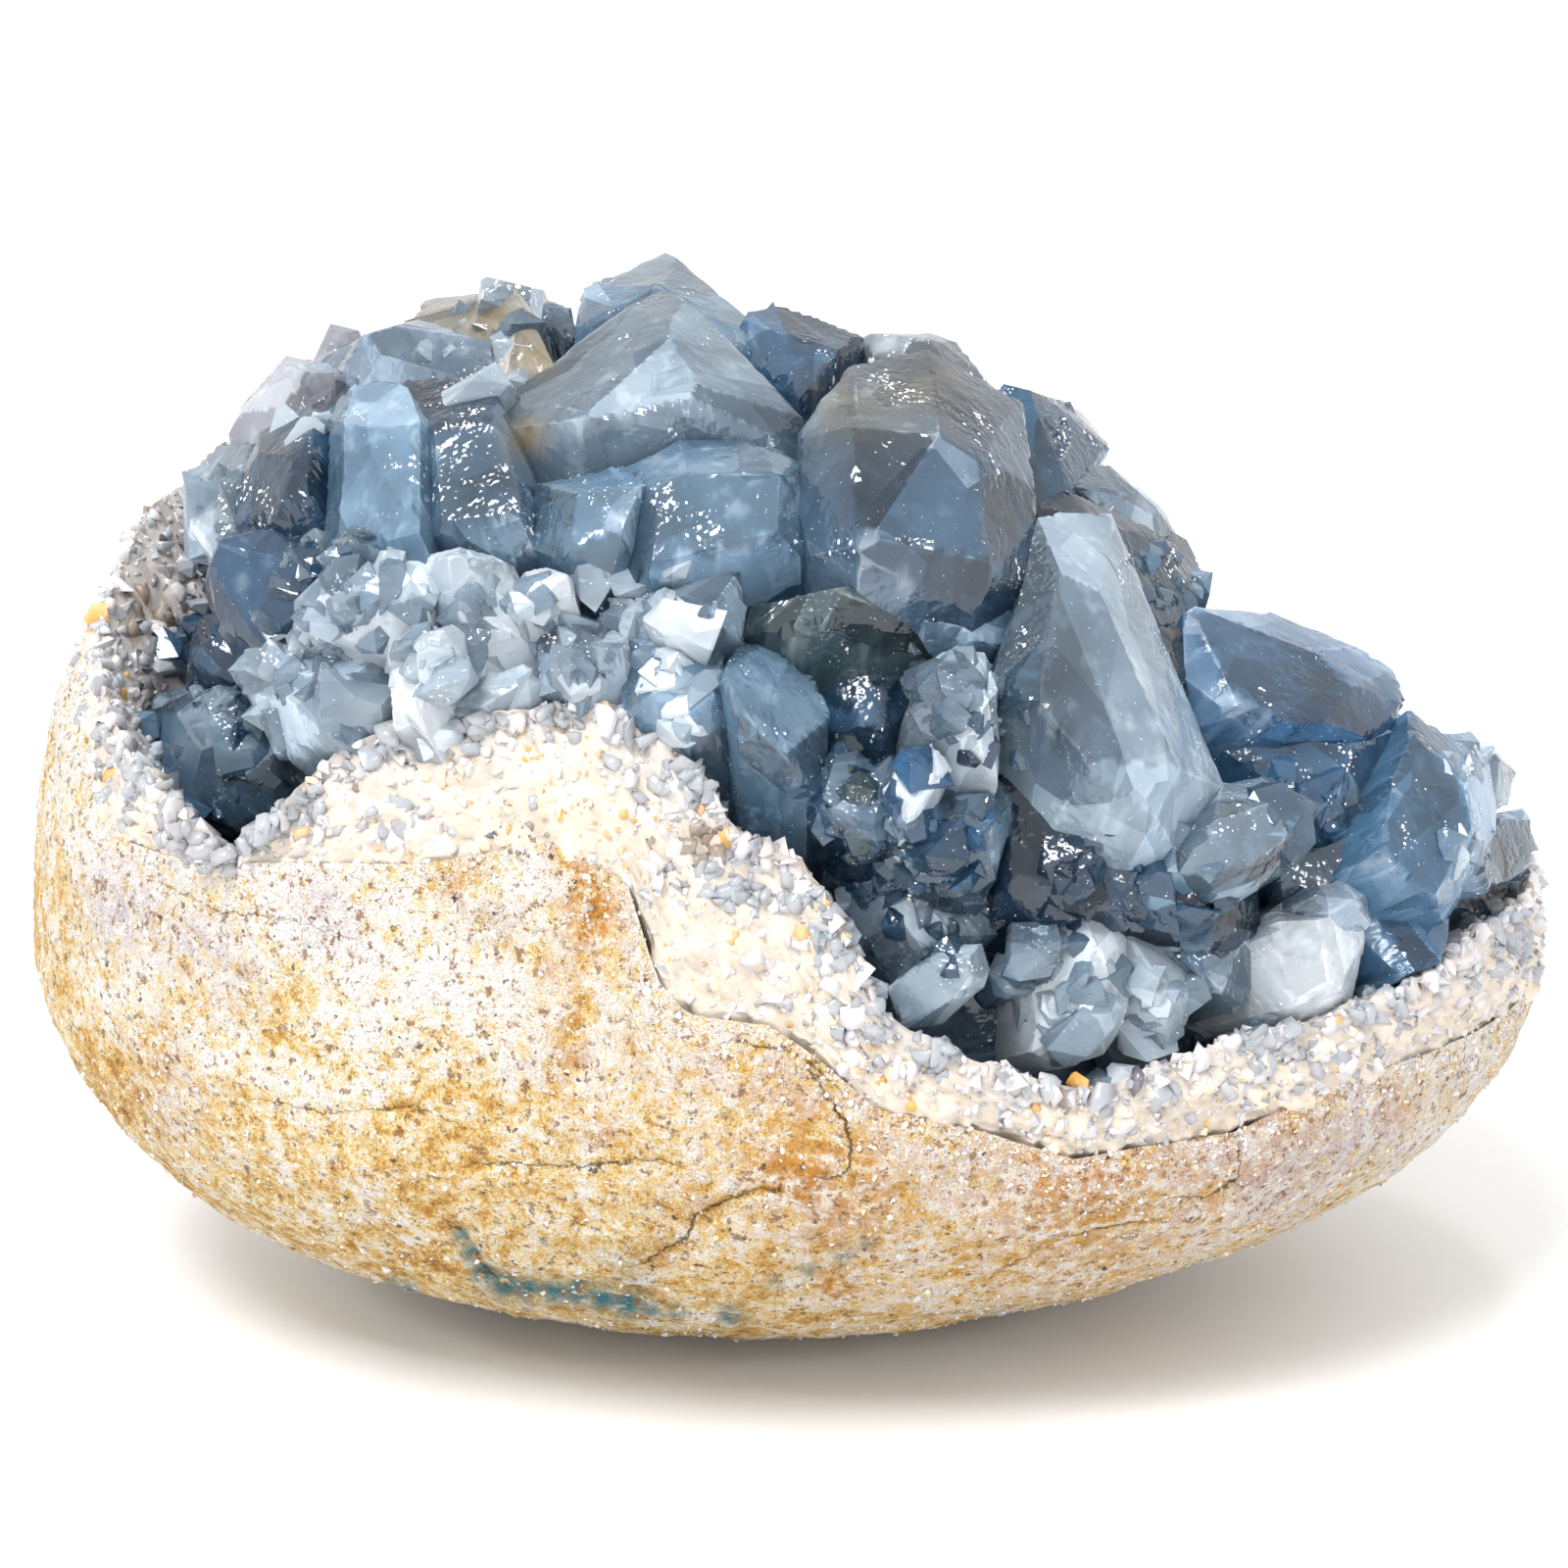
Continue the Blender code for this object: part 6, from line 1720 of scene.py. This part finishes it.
# %% Make the druse's finish
druse, tree = new_material("sugary_druse")
place = node(tree, "TexCoord", {}, 3)
tone = node(tree, "Attribute", {}, attribute_name="tone")
milk = tone.node.outputs["Alpha"]
cloud = node(tree, "TexNoise", {"Vector": place, "Scale": scale_of(1.67), "Detail": 4, "Roughness": 0.65})
cloud = node(tree, "MapRange", {0: cloud, 1: 0.40, 2: 0.70, 3: 0.0, 4: 0.50})
colour = node(tree, "Mix", {0: cloud, 6: tone, 7: "#dcd7d3"}, 2, data_type="RGBA")
through = node(tree, "MapRange", {0: milk, 1: 0.3, 2: 0.8, 3: 0.42, 4: 0.0})
chip_cells = node(tree, "TexVoronoi", {"Vector": place, "Scale": scale_of(0.385)})
chips = node(tree, "Bump", {"Strength": 0.4, "Distance": 0.08 * MM, "Height": chip_cells})
gloss = node(tree, "MapRange", {0: milk, 1: 0.3, 2: 0.9, 3: 0.20, 4: 0.50})
shader = node(tree, "BsdfPrincipled", {
    "Base Color": colour, "Roughness": gloss, "IOR": 1.62, "Transmission Weight": through, "Normal": chips,
})
node(tree, "OutputMaterial", {"Surface": shader})

# %% [markdown]
# ## Finish of the limestone
#
# The stone is a sandy limestone with grains of about half a millimetre. Cream is its ground colour,
# and ochre iron stain runs through it in patches and in single grains. Its pits and hollows are darker
# and browner, a painted shade. Under the rim the sugary crust has overgrown it, so it is white there,
# and towards the foot it turns more ochre and darker, also a painted shade. Rust, blue-green copper
# stain and lilac-grey patches come from the attributes, broken up by noise so that their edges follow
# the grains.

# %% Make the limestone's finish
limestone, tree = new_material("sandy_limestone")
place = node(tree, "TexCoord", {}, 3)
stains_colour = node(tree, "Attribute", {}, attribute_name="stains")
lilac_amount = stains_colour.node.outputs["Alpha"]
split = node(tree, "SeparateColor", {0: stains_colour})
rust_amount, teal_amount, white_amount = split, split.node.outputs[1], split.node.outputs[2]
depth = node(tree, "Attribute", {}, 2, attribute_name="hollow_depth")
crack_place = node(tree, "Attribute", {}, 2, attribute_name="crack_side")
crack_size = node(tree, "Attribute", {}, 2, attribute_name="crack_half")
under_rim = node(tree, "Attribute", {}, 2, attribute_name="below_rim")

# The ground: a fine uneven grain whose tone runs from brown over ochre and cream to lilac white, and
# which is shifted towards one end or the other by patches a centimetre wide.
grain = node(tree, "TexNoise", {"Vector": place, "Scale": scale_of(1.79), "Detail": 6, "Roughness": 0.92})
patch = node(tree, "TexNoise", {"Vector": place, "Scale": scale_of(6.25), "Detail": 5, "Roughness": 0.75})
patch_shift = node(tree, "MapRange", {0: patch, 1: 0.3, 2: 0.7, 3: -0.06, 4: 0.07})
# Whiter just under the rim, where the crust overgrows it, and more ochre and darker towards the foot, which
# is painted shade.
rim_white_and_foot_shade = node(tree, "MapRange", {0: under_rim, 1: 2.0, 2: 24.0, 3: 0.07, 4: -0.01})
white_shift = node(tree, "MapRange", {0: white_amount, 1: 0.0, 2: 1.0, 3: -0.025, 4: 0.06})
# Painted shade: the hollows of the relief shift towards the brown end.
hollow_painted_shade = node(tree, "Math", {0: depth, 1: -0.24}, operation="MULTIPLY")
value = grain
for shift in (patch_shift, rim_white_and_foot_shade, white_shift, hollow_painted_shade):
    value = node(tree, "Math", {0: value, 1: shift}, operation="ADD")

# Each tone takes over from the one before as the value rises from the first number to the second.
STONE_TONES = [
    (0.330, 0.370, "#dca652"),
    (0.385, 0.425, "#efc676"),
    (0.435, 0.470, "#f9dea6"),
    (0.480, 0.515, "#fdf0d8"),
    (0.525, 0.565, "#fff9f3"),
    (0.640, 0.720, "#f1e8ec"),
]
ground = "#b98440"
for low, high, colour in STONE_TONES:
    share = node(tree, "MapRange", {0: value, 1: low, 2: high})
    ground = node(tree, "Mix", {0: share, 6: ground, 7: colour}, 2, data_type="RGBA")

# The stains, each with its colour and how far the fine grain breaks it up.
speckle = node(tree, "TexNoise", {"Vector": place, "Scale": scale_of(1.11), "Detail": 4, "Roughness": 0.7})
for amount, colour, low, high in (
    (lilac_amount, "#cfc3ca", 0.36, 0.60),
    (rust_amount, "#d08e38", 0.40, 0.56),
    (teal_amount, "#1d7886", 0.34, 0.48),
):
    broken = node(tree, "MapRange", {0: speckle, 1: low, 2: high, 3: 0.10, 4: 1.15})
    share = node(tree, "Math", {0: amount, 1: broken}, operation="MULTIPLY", use_clamp=True)
    ground = node(tree, "Mix", {0: share, 6: ground, 7: colour}, 2, data_type="RGBA")

# Painted shade in the pits between the grains, and black specks: both are the lowest parts of a fine noise.
pit_noise = node(tree, "TexNoise", {"Vector": place, "Scale": scale_of(0.8), "Detail": 3, "Roughness": 0.80})
pit_painted_shade = node(tree, "MapRange", {0: pit_noise, 1: 0.36, 2: 0.45, 3: 0.85, 4: 0.0})
ground = node(tree, "Mix", {0: pit_painted_shade, 6: ground, 7: "#96693b"}, 2, data_type="RGBA")
speck_noise = node(
    tree, "TexNoise", {"Vector": place, "Scale": scale_of(0.87), "Detail": 2, "Roughness": 0.5}
)
speck_share = node(tree, "MapRange", {0: speck_noise, 1: 0.275, 2: 0.305, 3: 0.85, 4: 0.0})
ground = node(tree, "Mix", {0: speck_share, 6: ground, 7: "#4d3a2c"}, 2, data_type="RGBA")

# The cracks, drawn where the signed distance is less than half the crack's width.
wobble = node(tree, "MapRange", {0: speckle, 1: 0.3, 2: 0.7, 3: -0.28, 4: 0.28})
crack_place = node(tree, "Math", {0: crack_place, 1: wobble}, operation="ADD")
crack_place = node(tree, "Math", {0: crack_place}, operation="ABSOLUTE")
crack_width = node(tree, "MapRange", {0: patch, 1: 0.42, 2: 0.58, 3: 1.4, 4: 0.15})
crack_width = node(tree, "Math", {0: crack_width, 1: crack_size}, operation="MULTIPLY")
crack_share = node(tree, "Math", {0: crack_place, 1: crack_width}, operation="SUBTRACT")
crack_dark = node(tree, "MapRange", {0: crack_share, 1: -0.05, 2: 0.05, 3: 0.85, 4: 0.0})
ground = node(tree, "Mix", {0: crack_dark, 6: ground, 7: "#543a20"}, 2, data_type="RGBA")

# Relief: the uneven grain, rounded grains of sand on it, and the cracks cut into both.
sand = node(tree, "TexVoronoi", {"Vector": place, "Scale": scale_of(0.588)})
grain_bump = node(tree, "Bump", {"Strength": 1.0, "Distance": 0.9 * MM, "Height": grain})
pit_bump = node(
    tree, "Bump", {"Strength": 1.0, "Distance": 0.5 * MM, "Height": pit_noise, "Normal": grain_bump}
)
sand_bump = node(
    tree, "Bump", {"Strength": 0.7, "Distance": 0.16 * MM, "Height": sand, "Normal": pit_bump}, invert=True
)
crack_bump = node(
    tree, "Bump", {"Strength": 0.8, "Distance": 0.3 * MM, "Height": crack_dark, "Normal": sand_bump},
    invert=True,
)
shader = node(
    tree, "BsdfPrincipled", {"Base Color": ground, "Roughness": 0.88, "IOR": 1.5, "Normal": crack_bump}
)
node(tree, "OutputMaterial", {"Surface": shader})

# %% [markdown]
# ## Ride, replace and paint
#
# Every piece gets its finish and rides on the one body, and the imported node whose place it takes is
# hidden.

# %% Give each piece its finish and its body, and hide the node it replaces
for piece in [*crystal_pieces, small, heaps, heart]:
    piece.data.materials.append(celestite)
    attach(piece, "root")
    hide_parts("celestite_crystals")
for piece in (grains, crust):
    piece.data.materials.append(druse)
    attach(piece, "root")
    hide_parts("druse_crust")
for piece, finish in ((stone, limestone), (sand_grains, druse)):
    piece.data.materials.append(finish)
    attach(piece, "root")
    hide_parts("limestone_rind")

# %% [markdown]
# ## Studio
#
# The photograph is a catalogue picture: a white ground, and hard bright light that draws sparks on
# the crystals. The floor is nearly white. The world gives an even soft light, a large panel above and
# in front gives the form, and a few small lamps far off give real glints, next to the white sparks
# painted into the crystals' colour.

# %% Floor, world and lamps
FLOOR_SIDE = 6.0
corners = FLOOR_SIDE / 2 * np.array([[-1, -1, 0], [1, -1, 0], [1, 1, 0], [-1, 1, 0]])
floor = mesh_object("floor", corners - np.array([0, 0, 0.02 * MM]), [[0, 1, 2, 3]])
paper, tree = new_material("white_paper")
shader = node(tree, "BsdfPrincipled", {"Base Color": "#f4f4f4", "Roughness": 0.9})
node(tree, "OutputMaterial", {"Surface": shader})
floor.data.materials.append(paper)
floor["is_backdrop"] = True

world = bpy.data.worlds.new("studio")
bpy.context.scene.world = world
world.use_nodes = True
world.node_tree.nodes["Background"].inputs["Color"].default_value = (1, 1, 1, 1)
world.node_tree.nodes["Background"].inputs["Strength"].default_value = 1.0
bpy.context.scene.view_settings.view_transform = "Standard"

# Each lamp: name, place in metres, side in metres, power in watts. All of them shine on one point.
LAMPS_AIM = (0, 0, 0.035)
LAMPS = [
    ("panel", (-0.30, -0.50, 0.95), 0.40, 9.0),
    ("spark_left", (-0.80, -0.50, 0.70), 0.12, 1.4),
    ("spark_right", (0.65, -0.80, 0.60), 0.12, 1.1),
    ("spark_top", (0.10, 0.15, 1.20), 0.16, 1.6),
    ("spark_low", (0.25, -1.10, 0.30), 0.12, 0.7),
]
for name, position, side, power in LAMPS:
    lamp = bpy.data.objects.new(name, bpy.data.lights.new(name, "AREA"))
    bpy.context.scene.collection.objects.link(lamp)
    lamp.data.energy = power
    lamp.data.size = side
    lamp.location = position
    away = np.array(position) - LAMPS_AIM
    lean = math.atan2(math.hypot(away[0], away[1]), away[2])
    lamp.rotation_euler = (lean, 0, math.atan2(away[0], -away[1]))
print(len(LAMPS), "lamps")

# Light goes through many crystals in a row here. Five turns are enough for the eye.
light_paths = bpy.context.scene.cycles
light_paths.max_bounces = 5
light_paths.transmission_bounces = 5
light_paths.diffuse_bounces = 2
light_paths.glossy_bounces = 2

# %% [markdown]
# ## Size, and the end
#
# The box round everything the render shows, leaving out the floor, is measured.

# %% Measure the dressed model's box
low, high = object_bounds()
